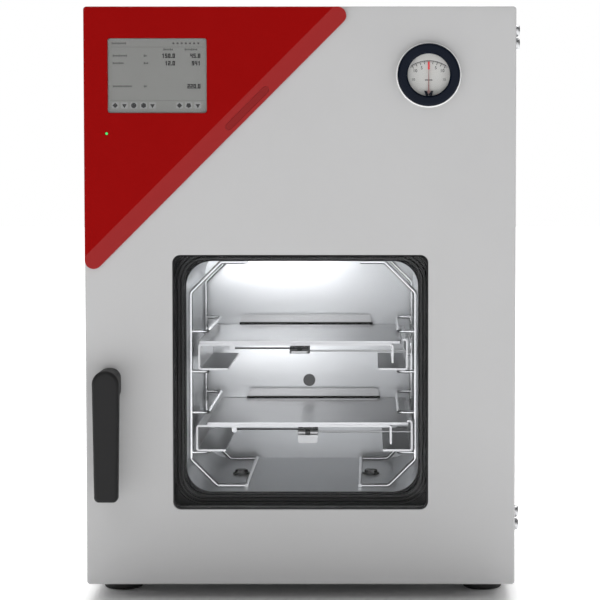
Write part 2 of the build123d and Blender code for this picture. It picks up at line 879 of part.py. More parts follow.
# Hinges: two lugs in the door round a tongue that comes out of the cabinet
lug_height = hinge_screw_spacing - tongue_thickness - 2 * lug_gap
block_height = hinge_screw_spacing + lug_height
block_left_x = hinge_x - tongue_radius - lug_margin - lug_spine
block_right_x = half_width - sheet
block_front_y = skin_inner_y + lug_margin
block_back_y = hinge_y + tongue_radius
with BuildPart() as hinge_blocks:
    for z in hinge_heights:
        with BuildSketch(level(z - block_height / 2)):
            with Locations(((block_left_x + block_right_x) / 2, (block_front_y + block_back_y) / 2)):
                Rectangle(block_right_x - block_left_x, block_back_y - block_front_y)
            with Locations((hinge_x, hinge_y)):
                Circle(pin_radius, mode=Mode.SUBTRACT)
        extrude(amount=block_height)
        with BuildSketch(level(z - tongue_thickness / 2 - lug_gap)):
            with Locations(((block_left_x + lug_spine + half_width) / 2, hinge_y)):
                Rectangle(half_width - block_left_x - lug_spine, 4 * tongue_radius)
        extrude(amount=tongue_thickness + 2 * lug_gap, mode=Mode.SUBTRACT)
        with BuildSketch(Plane.YZ.offset(block_right_x)):
            with Locations((screw_y, z)):
                with GridLocations(0, hinge_screw_spacing, 1, 2):
                    Circle(hinge_screw_shank)
        extrude(amount=-hinge_screw_depth, mode=Mode.SUBTRACT)
save(hinge_blocks, "hinge_blocks")

with BuildPart() as hinge_pins:
    for z in hinge_heights:
        with BuildSketch(level(z - block_height / 2)):
            with Locations((hinge_x, hinge_y)):
                Circle(pin_radius)
        extrude(amount=block_height)
        with BuildSketch(level(z + block_height / 2)):
            with Locations((hinge_x, hinge_y)):
                Circle(pin_radius + pin_head)
        extrude(amount=pin_head)
save(hinge_pins, "hinge_pins")

with BuildPart() as hinge_screws:
    for z in hinge_heights:
        with BuildSketch(Plane.YZ.offset(half_width)):
            with Locations((screw_y, z)):
                with GridLocations(0, hinge_screw_spacing, 1, 2):
                    Circle(hinge_screw_radius)
        extrude(amount=hinge_screw_height)
        with BuildSketch(Plane.YZ.offset(half_width)):
            with Locations((screw_y, z)):
                with GridLocations(0, hinge_screw_spacing, 1, 2):
                    Circle(hinge_screw_shank)
        extrude(amount=-hinge_screw_depth)
    fillet(hinge_screws.faces().filter_by(Axis.X).group_by(Axis.X)[-1].edges(), hinge_screw_round)
save(hinge_screws, "hinge_screws")

with BuildPart() as hinge_tongues:
    for z in hinge_heights:
        with BuildSketch(level(z - tongue_thickness / 2)):
            with Locations((hinge_x, hinge_y)):
                Circle(tongue_radius)
            with Locations((hinge_x, (hinge_y + flange_front_y) / 2)):
                Rectangle(2 * tongue_radius, flange_front_y - hinge_y)
            with Locations((hinge_x, hinge_y)):
                Circle(pin_radius + pin_clearance, mode=Mode.SUBTRACT)
        extrude(amount=tongue_thickness)
        with BuildSketch(facing(flange_front_y + hinge_plate_thickness)):
            with Locations((half_width - sheet - tongue_radius - hinge_plate_reach / 2, z)):
                Rectangle(
                    2 * tongue_radius + hinge_plate_reach,
                    min(hinge_plate_height, 2 * (body_top - sheet - z)),
                )
        extrude(amount=hinge_plate_thickness)
save(hinge_tongues, "hinge_tongues")

# Cabinet casing
inside_width = front_width - 2 * sheet
side_front_y = flange_front_y
side_back_y = cabinet_back_y - sheet
side_length = side_back_y - side_front_y
side_middle_y = (side_front_y + side_back_y) / 2
for side, name in ((-1, "left_panel"), (1, "right_panel")):
    with BuildPart() as side_panel:
        with BuildSketch(Plane.YZ.offset(side * (half_width - sheet / 2))):
            with Locations((side_middle_y, door_mid_z)):
                Rectangle(side_length, door_height)
        extrude(amount=sheet / 2, both=True)
        with BuildSketch(Plane.YZ.offset(side * (half_width - sheet / 2))):
            with Locations((side_back_y - vent_inset, body_top - vent_drop)):
                with GridLocations(0, vent_spacing, 1, vent_count):
                    SlotOverall(vent_length, vent_width)
        extrude(amount=sheet, both=True, mode=Mode.SUBTRACT)
        outer_long_edges = side_panel.faces().sort_by(Axis.X)[-1 if side > 0 else 0].edges()
        fillet(outer_long_edges.filter_by(Axis.Y), side_edge_round)
    save(side_panel, name)

with BuildPart() as top_panel:
    with BuildSketch(level(body_top - sheet)):
        with Locations((0, side_middle_y)):
            Rectangle(inside_width, side_length)
    extrude(amount=sheet)
save(top_panel, "top_panel")

with BuildPart() as base_plate:
    with BuildSketch(level(foot_height)):
        with Locations((0, side_middle_y)):
            Rectangle(inside_width, side_length)
    extrude(amount=base_sheet)
    for x in (-support_x, support_x):
        with BuildSketch(facing(support_front_y)):
            with Locations((x, foot_height + base_sheet + cradle_height / 2)):
                Rectangle(support_width, cradle_height)
            with Locations((x, foot_height + base_sheet + cradle_height / 2 - sheet)):
                Rectangle(support_width - 2 * sheet, cradle_height, mode=Mode.SUBTRACT)
        extrude(amount=-support_length)
save(base_plate, "base_plate")

with BuildPart() as rear_panel:
    with BuildSketch(facing(cabinet_back_y)):
        with Locations((0, door_mid_z)):
            Rectangle(front_width, door_height)
        with Locations((0, port_z)):
            Circle(port_radius + pipe_wall + pass_gap, mode=Mode.SUBTRACT)
        with Locations((gas_port_x, port_z)):
            Circle(gas_pipe_radius + pass_gap, mode=Mode.SUBTRACT)
        with Locations((inlet_x, inlet_z)):
            Rectangle(inlet_width, inlet_height, mode=Mode.SUBTRACT)
        with Locations((inlet_x, switch_z)):
            Rectangle(
                switch_width - 2 * switch_wall, switch_height - 2 * switch_wall, mode=Mode.SUBTRACT
            )
        with Locations((0, body_top - vent_drop)):
            with GridLocations(vent_spacing, 0, 2 * vent_count, 1):
                SlotOverall(vent_length, vent_width, rotation=90, mode=Mode.SUBTRACT)
    extrude(amount=sheet)
save(rear_panel, "rear_panel")

with BuildPart() as front_frame:
    with BuildSketch(facing(flange_front_y)):
        with Locations((0, door_mid_z)):
            RectangleRounded(front_width, door_height, corner_radius)
        with Locations((0, chamber_mid_z)):
            RectangleRounded(frame_opening, frame_opening, gasket_corner, mode=Mode.SUBTRACT)
        for z in hinge_heights:
            with Locations((hinge_x, z)):
                Rectangle(2 * tongue_radius, tongue_thickness, mode=Mode.SUBTRACT)
        with Locations((handle_x, handle_z)):
            SlotOverall(slot_length, slot_width, mode=Mode.SUBTRACT)
    extrude(amount=sheet)
save(front_frame, "front_frame")

# Vacuum chamber: deep-drawn box, its front flange and the ribbed door seal
with BuildPart() as chamber_flange:
    with BuildSketch(facing(flange_back_y)):
        with Locations((0, chamber_mid_z)):
            RectangleRounded(flange_size, flange_size, flange_corner)
            RectangleRounded(chamber_size, chamber_size, chamber_corner, mode=Mode.SUBTRACT)
    extrude(amount=flange_thickness)
    with BuildSketch(facing(flange_front_y)):
        with Locations((0, chamber_mid_z)):
            RectangleRounded(gasket_outer, gasket_outer, gasket_corner)
    extrude(amount=-gasket_groove, mode=Mode.SUBTRACT)
save(chamber_flange, "chamber_flange")

with BuildPart() as inner_chamber:
    with BuildSketch(facing(chamber_outer_back_y)):
        with Locations((0, chamber_mid_z)):
            RectangleRounded(
                chamber_size + 2 * chamber_wall,
                chamber_size + 2 * chamber_wall,
                chamber_corner + chamber_wall,
            )
    extrude(amount=chamber_outer_back_y - flange_back_y)
    fillet(inner_chamber.faces().sort_by(Axis.Y)[-1].edges(), chamber_back_round + chamber_wall)
    with BuildSketch(facing(chamber_back_y)):
        with Locations((0, chamber_mid_z)):
            RectangleRounded(chamber_size, chamber_size, chamber_corner)
    extrude(amount=chamber_back_y - flange_back_y, mode=Mode.SUBTRACT)
    with BuildSketch(facing(chamber_outer_back_y)):
        with Locations((0, port_z)):
            Circle(port_radius)
        with Locations((gas_port_x, port_z)):
            Circle(gas_pipe_radius - gas_pipe_wall)
    extrude(amount=2 * chamber_wall, mode=Mode.SUBTRACT)
save(inner_chamber, "inner_chamber")

with BuildPart() as door_gasket:
    with BuildSketch(facing(gasket_back_y)):
        with Locations((0, chamber_mid_z)):
            RectangleRounded(gasket_outer, gasket_outer, gasket_corner)
            RectangleRounded(gasket_inner, gasket_inner, gasket_corner - gasket_width, mode=Mode.SUBTRACT)
    extrude(amount=gasket_back_y - gasket_front_y - gasket_rib)
    with BuildSketch(facing(gasket_front_y + gasket_rib)):
        for step in range(3):
            inset = step * 2 * gasket_rib_step
            rim_size = gasket_outer - 2 * gasket_lip_margin - inset
            rim_corner = gasket_corner - gasket_lip_margin - inset / 2
            with Locations((0, chamber_mid_z)):
                RectangleRounded(rim_size, rim_size, rim_corner)
                RectangleRounded(
                    rim_size - 2 * gasket_rib, rim_size - 2 * gasket_rib, rim_corner - gasket_rib,
                    mode=Mode.SUBTRACT,
                )
    extrude(amount=gasket_rib)
save(door_gasket, "door_gasket")

with BuildPart() as port_screen:
    with BuildSketch(facing(chamber_back_y)):
        with Locations((0, port_z)):
            Circle(port_radius + panel_gap)
            with PolarLocations(screen_ring_radius, 6):
                Circle(screen_hole, mode=Mode.SUBTRACT)
            Circle(screen_hole, mode=Mode.SUBTRACT)
    extrude(amount=screen_thickness)
save(port_screen, "port_screen")

# Heating mats on the outside of the chamber, and the glass wool round them
mat_size = chamber_size - 2 * chamber_corner
mat_centre_y = (flange_back_y + chamber_back_y) / 2
mat_offset = chamber_size / 2 + chamber_wall + mat_thickness / 2
mat_length = chamber_back_y - flange_back_y - 2 * chamber_back_round
with BuildPart() as heater_mats:
    for x, z, wide, high in (
        (-mat_offset, 0, mat_thickness, mat_size),
        (mat_offset, 0, mat_thickness, mat_size),
        (0, -mat_offset, mat_size, mat_thickness),
        (0, mat_offset, mat_size, mat_thickness),
    ):
        with BuildSketch(facing(mat_centre_y)):
            with Locations((x, chamber_mid_z + z)):
                Rectangle(wide, high)
        extrude(amount=mat_length / 2, both=True)
save(heater_mats, "heater_mats")

with BuildPart() as insulation_blanket:
    with BuildSketch(facing(chamber_outer_back_y + insulation_back)):
        with Locations((0, chamber_mid_z)):
            Rectangle(wool_outer, wool_outer)
    extrude(amount=chamber_outer_back_y + insulation_back - flange_back_y - insulation_front_gap)
    with BuildSketch(facing(chamber_outer_back_y)):
        with Locations((0, chamber_mid_z)):
            Rectangle(wool_inner, wool_inner)
    extrude(amount=chamber_outer_back_y - flange_back_y, mode=Mode.SUBTRACT)
    with BuildSketch(facing(chamber_outer_back_y)):
        with Locations((0, port_z)):
            Circle(port_radius + pipe_wall)
        with Locations((gas_port_x, port_z)):
            Circle(gas_pipe_radius)
    extrude(amount=-insulation_back, mode=Mode.SUBTRACT)
save(insulation_blanket, "insulation_blanket")

# Pipes to the rear: a flanged vacuum port and a hose nipple for gas, each with its valve
pipe_back_y = cabinet_back_y + rear_fitting_reach
pipe_length = pipe_back_y - chamber_outer_back_y
with BuildPart() as vacuum_pipe:
    with BuildSketch(facing(chamber_outer_back_y)):
        with Locations((0, port_z)):
            Circle(port_radius + pipe_wall)
    extrude(amount=-pipe_length)
    with BuildSketch(facing(pipe_back_y)):
        with Locations((0, port_z)):
            Circle(flange_ring_radius)
    extrude(amount=flange_ring_thickness)
    ring_front = vacuum_pipe.edges().filter_by(GeomType.CIRCLE).filter_by_position(
        Axis.Y, pipe_back_y - flange_ring_thickness - 0.01, pipe_back_y - flange_ring_thickness + 0.01
    )
    chamfer(ring_front.sort_by(SortBy.RADIUS)[-1], flange_ring_bevel)
    with BuildSketch(facing(pipe_back_y)):
        with Locations((0, port_z)):
            Circle(port_radius)
    extrude(amount=pipe_length, mode=Mode.SUBTRACT)
save(vacuum_pipe, "vacuum_pipe")

nipple_front_y = cabinet_back_y + nipple_hex_height
barb_length = (pipe_back_y - nipple_front_y - nipple_tip) / barb_count
with BuildPart() as gas_nipple:
    with BuildSketch(facing(chamber_outer_back_y)):
        with Locations((gas_port_x, port_z)):
            Circle(gas_pipe_radius)
    extrude(amount=chamber_outer_back_y - nipple_front_y)
    with BuildSketch(facing(cabinet_back_y)):
        with Locations((gas_port_x, port_z)):
            RegularPolygon(nipple_hex_radius, 6)
    extrude(amount=-nipple_hex_height)
    for turn in range(barb_count):
        with BuildSketch(facing(nipple_front_y + turn * barb_length)):
            with Locations((gas_port_x, port_z)):
                Circle(nipple_radius)
        extrude(amount=-barb_length, taper=barb_taper)
    with BuildSketch(facing(nipple_front_y + barb_count * barb_length)):
        with Locations((gas_port_x, port_z)):
            Circle(nipple_radius - nipple_tip)
    extrude(amount=-nipple_tip)
    with BuildSketch(facing(pipe_back_y)):
        with Locations((gas_port_x, port_z)):
            Circle(gas_pipe_radius - gas_pipe_wall)
    extrude(amount=pipe_back_y - chamber_outer_back_y, mode=Mode.SUBTRACT)
save(gas_nipple, "gas_nipple")

valve_y = (chamber_outer_back_y + insulation_back + cabinet_back_y - sheet) / 2
with BuildPart() as solenoid_valves:
    for x, bore in ((0, port_radius + pipe_wall), (gas_port_x, gas_pipe_radius)):
        with BuildSketch(facing(valve_y)):
            with Locations((x, port_z)):
                Rectangle(valve_size, valve_size)
        extrude(amount=valve_size / 2, both=True)
        with BuildSketch(level(port_z + valve_size / 2)):
            with Locations((x, valve_y)):
                Circle(valve_size / 2 - coil_border)
        extrude(amount=coil_height)
        with BuildSketch(facing(valve_y)):
            with Locations((x, port_z)):
                Circle(bore)
        extrude(amount=valve_size, both=True, mode=Mode.SUBTRACT)
save(solenoid_valves, "solenoid_valves")

# Mains inlet and its rocker switch
inlet_floor_y = cabinet_back_y + inlet_plate - inlet_depth
with BuildPart() as mains_inlet:
    with BuildSketch(facing(cabinet_back_y)):
        with Locations((inlet_x, inlet_z)):
            RectangleRounded(inlet_width + 2 * inlet_border, inlet_height + 2 * inlet_border, inlet_plate)
    extrude(amount=-inlet_plate)
    with BuildSketch(facing(cabinet_back_y)):
        with Locations((inlet_x, inlet_z)):
            Rectangle(inlet_width, inlet_height)
    extrude(amount=inlet_depth)
    with BuildSketch(facing(cabinet_back_y + inlet_plate)):
        with Locations((inlet_x, inlet_z)):
            RectangleRounded(inlet_width - 2 * inlet_wall, inlet_height - 2 * inlet_wall, inlet_wall)
    extrude(amount=inlet_depth, mode=Mode.SUBTRACT)
    with BuildSketch(facing(inlet_floor_y)):
        with Locations((inlet_x, inlet_z)):
            with GridLocations(inlet_pin_spacing, 0, 3, 1):
                Rectangle(inlet_pin_width, inlet_pin_height)
    extrude(amount=inlet_pin_height - inlet_depth)
    with BuildSketch(facing(cabinet_back_y)):
        with Locations((inlet_x, switch_z)):
            RectangleRounded(
                switch_width + 2 * switch_border, switch_height + 2 * switch_border, switch_border
            )
            Rectangle(
                switch_width - 2 * switch_border, switch_height - 2 * switch_border, mode=Mode.SUBTRACT
            )
    extrude(amount=-switch_border)
    with BuildSketch(facing(cabinet_back_y)):
        with Locations((inlet_x, switch_z)):
            Rectangle(switch_width - 2 * switch_wall, switch_height - 2 * switch_wall)
            Rectangle(
                switch_width - 2 * switch_border, switch_height - 2 * switch_border, mode=Mode.SUBTRACT
            )
    extrude(amount=inlet_depth)
save(mains_inlet, "mains_inlet")

rocker_half_height = switch_height / 2 - switch_border - rocker_end_gap
rocker_half_width = switch_width / 2 - switch_border - rocker_gap
with BuildPart() as power_switch:
    with BuildSketch(Plane.YZ.offset(inlet_x)):
        with BuildLine():
            Polyline(
                (cabinet_back_y - rocker_depth, switch_z - rocker_half_height),
                (cabinet_back_y + rocker_low, switch_z - rocker_half_height),
                (cabinet_back_y + rocker_middle, switch_z),
                (cabinet_back_y + rocker_high, switch_z + rocker_half_height),
                (cabinet_back_y - rocker_depth, switch_z + rocker_half_height),
                close=True,
            )
        make_face()
    extrude(amount=rocker_half_width, both=True)
    fillet(power_switch.edges().filter_by(Axis.X).group_by(Axis.Y)[-1], rocker_round)
save(power_switch, "power_switch")

# Four rubber feet
with BuildPart() as feet:
    for x in (-foot_x, foot_x):
        for y in (foot_front_y, foot_rear_y):
            with BuildSketch(level(0)):
                with Locations((x, y)):
                    Circle(foot_radius)
            extrude(amount=foot_height)
    fillet(feet.faces().filter_by(Axis.Z).group_by(Axis.Z)[0].edges(), foot_low_round)
    fillet(feet.faces().filter_by(Axis.Z).group_by(Axis.Z)[-1].edges(), foot_top_round)
save(feet, "feet")

# Two flat-headed bolts in the chamber floor
with BuildPart() as floor_bolts:
    for x in (-floor_bolt_x, floor_bolt_x):
        with BuildSketch(level(chamber_floor_z)):
            with Locations((x, floor_bolt_y)):
                Circle(floor_washer_radius)
        extrude(amount=floor_washer_height)
        with BuildSketch(level(chamber_floor_z + floor_washer_height)):
            with Locations((x, floor_bolt_y)):
                RegularPolygon(floor_bolt_across / 2, 6, major_radius=False)
        extrude(amount=floor_bolt_height, taper=floor_bolt_taper)
save(floor_bolts, "floor_bolts")

# Racks: two bent hoops a side, joined by foot and head rods and four runners
rack_wall_x = chamber_size / 2 - rod - rack_wall_gap
rack_foot_x = rack_wall_x - rack_foot_reach
rack_low_z = chamber_floor_z + rod + rack_wall_gap
rack_high_z = chamber_ceiling_z - rod - rack_wall_gap
for side, name in ((-1, "left_rack"), (1, "right_rack")):
    with BuildPart() as rack:
        for y in (rack_front_y, rack_back_y):
            with BuildLine(facing(y)) as hoop:
                FilletPolyline(
                    (side * rack_foot_x, rack_low_z),
                    (side * (rack_wall_x - rack_chamfer), rack_low_z),
                    (side * rack_wall_x, rack_low_z + rack_chamfer),
                    (side * rack_wall_x, rack_high_z - rack_head_chamfer),
                    (side * (rack_wall_x - rack_head_chamfer), rack_high_z),
                    (side * rack_foot_x, rack_high_z),
                    radius=rack_bend,
                )
            with BuildSketch(Plane(hoop.line @ 0, z_dir=hoop.line % 0)):
                Circle(rod)
            sweep(path=hoop.line)
        for z in (rack_low_z, rack_high_z):
            with BuildSketch(facing(rack_back_y + rod)):
                with Locations((side * rack_foot_x, z)):
                    Circle(rod)
            extrude(amount=rack_depth + 2 * rod)
        for height in runner_heights:
            with BuildLine(level(chamber_mid_z + height)) as runner:
                FilletPolyline(
                    (side * rack_wall_x, rack_front_y),
                    (side * (rack_wall_x - runner_reach), rack_front_y),
                    (side * (rack_wall_x - runner_reach), rack_back_y),
                    (side * rack_wall_x, rack_back_y),
                    radius=rack_bend,
                )
            with BuildSketch(Plane(runner.line @ 0, z_dir=runner.line % 0)):
                Circle(runner_rod)
            sweep(path=runner.line)
    save(rack, name)

# Shelves
shelf_middle_y = (shelf_front_y + shelf_back_y) / 2
tab_front_y = shelf_back_y - stop_tab_inset
rail_front_y = shelf_front_y + rail_setback
rail_back_y = rail_front_y + rail_length
clamp_y = shelf_front_y + clamp_depth / 2 + lever_barrel + rail_play


def build_shelf(name, plate_x, left_gap, right_gap, leg_inset, ear_inset, runner, travel, lever_down):
    """One shelf: plate, tray with the fixed rail, pushed rail, clamp with its rod, and lever."""
    rail_bottom = chamber_mid_z + runner_heights[runner] + runner_rod + rail_play
    rail_top = rail_bottom + rail_height
    plate_bottom = rail_top + rail_play
    rod_z = plate_bottom - draw_rod_drop
    left_x = -chamber_size / 2 + left_gap
    right_x = chamber_size / 2 - right_gap
    leg_x = right_x - leg_inset
    ear_x = left_x + ear_inset
    ear_bottom = rail_top - rail_sheet - tray_ear_height
    lip_top = rail_top + rail_lip_rise + rail_sheet
    clamp_left = plate_x - clamp_width / 2
    clamp_right = plate_x + clamp_width / 2
    clamp_bottom = rod_z - clamp_height / 2
    pin_y = shelf_front_y
    pin_z = clamp_bottom + lever_barrel
    pushed_rod_z = rod_z - rod_offset
    fixed_rod_z = rod_z + rod_offset

    with BuildPart() as plate:
        with BuildSketch(level(plate_bottom)):
            with Locations((plate_x, shelf_middle_y)):
                Rectangle(shelf_width, shelf_back_y - shelf_front_y)
            with Locations((plate_x, tab_front_y - stop_tab_height / 2)):
                Rectangle(stop_tab_width, stop_tab_height, mode=Mode.SUBTRACT)
        extrude(amount=shelf_sheet)
        fillet(plate.edges().filter_by(Axis.Z).group_by(Axis.Y)[0], shelf_corner)
        with BuildSketch(facing(tab_front_y + stop_tab_sheet)):
            with Locations((plate_x, plate_bottom + (shelf_sheet + stop_tab_height) / 2)):
                RectangleRounded(stop_tab_width, stop_tab_height + shelf_sheet, stop_tab_corner)
        extrude(amount=stop_tab_sheet)
    save(plate, name + "_plate")

    with BuildPart() as tray:
        with BuildSketch(facing(rail_back_y)):
            with BuildLine():
                FilletPolyline(
                    (leg_x, rail_top - tray_leg_drop),
                    (leg_x, rail_top),
                    (left_x, rail_top),
                    (left_x, rail_bottom),
                    (left_x + rail_flange, rail_bottom),
                    radius=rail_bend,
                )
                offset(amount=rail_sheet, side=Side.LEFT)
            make_face()
        extrude(amount=rail_length)
        with BuildSketch(facing(clamp_y + tray_ear_width / 2)):
            with Locations((ear_x, rail_top - rail_sheet - tray_ear_height / 2)):
                Rectangle(tray_ear_width, tray_ear_height)
        extrude(amount=tray_ear_width)
        ear_edges = tray.edges().filter_by(Axis.Y).filter_by_position(
            Axis.Z, ear_bottom - shelf_corner, ear_bottom + shelf_corner
        )
        fillet(
            ear_edges.filter_by_position(Axis.X, ear_x - tray_ear_width, ear_x + tray_ear_width),
            shelf_corner,
        )
        with BuildSketch(Plane.YZ.offset(leg_x)):
            with Locations((clamp_y, pushed_rod_z)):
                Circle(draw_rod + rail_play)
        extrude(amount=rail_sheet, both=True, mode=Mode.SUBTRACT)
    save(tray, name + "_tray")

    with BuildPart() as rail:
        with BuildSketch(facing(rail_back_y)):
            with BuildLine():
                FilletPolyline(
                    (right_x - rail_lip, lip_top),
                    (right_x, lip_top),
                    (right_x, rail_bottom),
                    (right_x - rail_flange, rail_bottom),
                    radius=rail_bend,
                )
                offset(amount=rail_sheet, side=Side.RIGHT)
            make_face()
        extrude(amount=rail_length)
        rod_end = clamp_right - rod_grip - (travel if travel > 0 else 0)
        with BuildSketch(Plane.YZ.offset(rod_end)):
            with Locations((clamp_y, pushed_rod_z)):
                Circle(draw_rod)
        extrude(amount=right_x - rail_sheet - rod_end)
    save(rail, name + "_rail")

    with BuildPart() as clamp:
        with BuildSketch(facing(clamp_y)):
            with Locations((plate_x, rod_z)):
                Rectangle(clamp_width, clamp_height)
            with Locations((plate_x, (rod_z + rail_top - rail_sheet) / 2)):
                Rectangle(clamp_width / 2, rail_top - rail_sheet - rod_z)
        extrude(amount=clamp_depth / 2, both=True)
        with BuildSketch(Plane.YZ.offset(clamp_right)):
            with Locations((clamp_y, pushed_rod_z)):
                Rectangle(clamp_slot, clamp_slot)
        extrude(amount=clamp_end_wall - clamp_width / 2, mode=Mode.SUBTRACT)
        with BuildSketch(Plane.YZ.offset(clamp_left)):
            with Locations((clamp_y, fixed_rod_z)):
                Circle(draw_rod)
        extrude(amount=ear_x + tray_ear_width / 2 - clamp_left)
        with BuildSketch(Plane.YZ.offset(plate_x)):
            with Locations((pin_y, pin_z)):
                Circle(lever_pin)
        extrude(amount=clamp_width / 2, both=True)
        with BuildSketch(Plane.YZ.offset(plate_x)):
            with Locations((pin_y, pin_z)):
                Circle(lever_barrel)
            with Locations(((pin_y + clamp_y) / 2, pin_z)):
                Rectangle(clamp_y - pin_y, 2 * lever_pin)
        extrude(amount=lever_arm_width / 2, both=True)
    save(clamp, name + "_clamp")

    with BuildPart() as lever:
        if lever_down:
            lever_plane = facing(pin_y + lever_sheet / 2)
            flap_centre = (plate_x, pin_z - lever_length / 2)
        else:
            lever_plane = level(pin_z - lever_sheet / 2)
            flap_centre = (plate_x, pin_y - lever_length / 2)
        with BuildSketch(lever_plane) as flap:
            with Locations(flap_centre):
                Rectangle(clamp_width, lever_length)
            fillet(flap.vertices().group_by(Axis.Y)[0], lever_corner)
        extrude(amount=lever_sheet)
        with BuildSketch(Plane.YZ.offset(plate_x)):
            with Locations((pin_y, pin_z)):
                Circle(lever_barrel)
        extrude(amount=clamp_width / 2, both=True)
        with BuildSketch(Plane.YZ.offset(plate_x)):
            with Locations((pin_y, pin_z)):
                Circle(lever_barrel + 2 * rail_play)
        extrude(amount=lever_arm_width / 2 + rail_play, both=True, mode=Mode.SUBTRACT)
        with BuildSketch(Plane.YZ.offset(plate_x)):
            with Locations((pin_y, pin_z)):
                Circle(lever_pin + pin_clearance)
        extrude(amount=clamp_width, both=True, mode=Mode.SUBTRACT)
    save(lever, name + "_lever")


build_shelf(
    "upper_shelf", upper_plate_x, upper_left_gap, upper_right_gap, upper_leg_inset, upper_ear_inset,
    upper_runner, upper_travel, False,
)
build_shelf(
    "lower_shelf", lower_plate_x, lower_left_gap, lower_right_gap, lower_leg_inset, lower_ear_inset,
    lower_runner, -lower_travel, True,
)
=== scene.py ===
import json
import math

import bmesh
import bpy
from mathutils import Matrix, Vector


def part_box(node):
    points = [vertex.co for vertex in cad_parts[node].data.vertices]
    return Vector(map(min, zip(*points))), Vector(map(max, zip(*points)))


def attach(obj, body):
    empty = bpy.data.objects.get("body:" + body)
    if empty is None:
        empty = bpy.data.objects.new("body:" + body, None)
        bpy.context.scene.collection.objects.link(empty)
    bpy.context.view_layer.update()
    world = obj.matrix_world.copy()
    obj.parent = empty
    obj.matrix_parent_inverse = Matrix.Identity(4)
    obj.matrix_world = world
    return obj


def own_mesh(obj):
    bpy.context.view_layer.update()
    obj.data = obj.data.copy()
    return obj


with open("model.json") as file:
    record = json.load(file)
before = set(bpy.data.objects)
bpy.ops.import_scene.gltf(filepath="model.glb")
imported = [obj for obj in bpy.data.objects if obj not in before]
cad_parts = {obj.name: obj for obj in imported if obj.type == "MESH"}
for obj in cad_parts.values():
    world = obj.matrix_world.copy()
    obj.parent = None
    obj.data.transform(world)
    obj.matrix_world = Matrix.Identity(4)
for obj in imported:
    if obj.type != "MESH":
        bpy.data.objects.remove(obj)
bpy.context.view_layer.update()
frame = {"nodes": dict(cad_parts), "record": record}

MM = 0.001
nodes = frame["nodes"]
scene = bpy.context.scene


# Places, in metres, that the CAD model gives
door_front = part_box("door_skin")[0].y
glass_low, glass_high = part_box("touch_glass")
dial_low, dial_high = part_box("gauge_dial")
pointer_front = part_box("gauge_pointer")[0].y
dial_centre = (dial_low + dial_high) / 2
dial_front = dial_low.y
pivot_drop = 21 * MM
pivot = Vector((dial_centre.x, dial_front, dial_centre.z - pivot_drop))


# Shader maths
class Value:
    """A number or colour inside a shader, which takes part in plain arithmetic."""

    def __init__(self, graph, socket):
        self.graph = graph
        self.socket = socket

    def maths(self, operation, first, second):
        return self.graph.node("ShaderNodeMath", {0: first, 1: second}, operation=operation)

    def __add__(self, other):
        return self.maths("ADD", self, other)

    def __radd__(self, other):
        return self.maths("ADD", other, self)

    def __sub__(self, other):
        return self.maths("SUBTRACT", self, other)

    def __mul__(self, other):
        return self.maths("MULTIPLY", self, other)


class Graph:
    """The node tree of one new material, with its principled shader."""

    def __init__(self, name):
        self.material = bpy.data.materials.new(name)
        self.material.use_nodes = True
        self.tree = self.material.node_tree
        self.shader = self.tree.nodes["Principled BSDF"]
        self.output = self.tree.nodes["Material Output"]
        self.place = self.node("ShaderNodeTexCoord", {}, "Object")

    def node(self, kind, inputs, output=0, **settings):
        made = self.tree.nodes.new(kind)
        for key, value in settings.items():
            setattr(made, key, value)
        for key, value in inputs.items():
            self.plug(made.inputs[key], value)
        return Value(self, made.outputs[output])

    def plug(self, socket, value):
        if isinstance(value, Value):
            self.tree.links.new(value.socket, socket)
        else:
            socket.default_value = value

    def set(self, **values):
        for key, value in values.items():
            self.plug(self.shader.inputs[key.replace("_", " ")], value)

    def stretched(self, scale):
        return self.node("ShaderNodeMapping", {"Vector": self.place, "Scale": scale})

    def noise(self, size, detail=2.0, stretch=(1, 1, 1), roughness=0.5):
        """Noise from 0 to 1 whose grain is about size metres across."""
        spot = self.stretched(stretch)
        return self.node(
            "ShaderNodeTexNoise",
            {"Vector": spot, "Scale": 1 / size, "Detail": detail, "Roughness": roughness},
            "Fac",
        )

    def blend(self, factor, first, second):
        """Colour between first and second."""
        return self.node(
            "ShaderNodeMix", {"Factor": factor, 6: (*first, 1), 7: (*second, 1)}, 2, data_type="RGBA"
        )

    def bump(self, height, strength, distance):
        self.set(Normal=self.node(
            "ShaderNodeBump", {"Height": height, "Strength": strength, "Distance": distance}, "Normal"
        ))

    def along(self, axis):
        """Object coordinate along one axis, in metres."""
        return self.node("ShaderNodeSeparateXYZ", {"Vector": self.place}, axis)


def coat(name, low, high, grain=0.0009, roughness=0.5, strength=0.12, coat_weight=0.0):
    """Powder coat or textured paint: fine orange peel, faint cloudiness in colour and gloss."""
    g = Graph(name)
    fine = g.noise(grain, 3)
    cloud = g.noise(0.09, 2)
    g.set(
        Base_Color=g.blend(cloud * 0.7 + fine * 0.3, low, high),
        Roughness=roughness + (fine - 0.5) * 0.12,
        Coat_Weight=coat_weight,
    )
    g.bump(fine, strength, 0.00008)
    return g.material


def moulded(name, low, high, roughness=0.4, grain=0.0006, strength=0.1, gloss=0.5, edge_gloss=None):
    """Moulded plastic with a fine eroded texture; edge_gloss is for faces turned from the front."""
    g = Graph(name)
    fine = g.noise(grain, 3)
    wide = g.noise(0.05, 2)
    if edge_gloss is not None:
        facing = g.node("ShaderNodeTexCoord", {}, "Normal")
        gloss = g.node("ShaderNodeMapRange", {
            "Value": g.node("ShaderNodeSeparateXYZ", {"Vector": facing}, "Y"),
            "From Min": -0.995, "From Max": -0.95, "To Min": gloss, "To Max": edge_gloss,
        })
    g.set(
        Base_Color=g.blend(wide, low, high),
        Roughness=roughness + (wide - 0.5) * 0.1 + (fine - 0.5) * 0.08,
        Specular_IOR_Level=gloss,
    )
    g.bump(fine, strength, 0.00005)
    return g.material


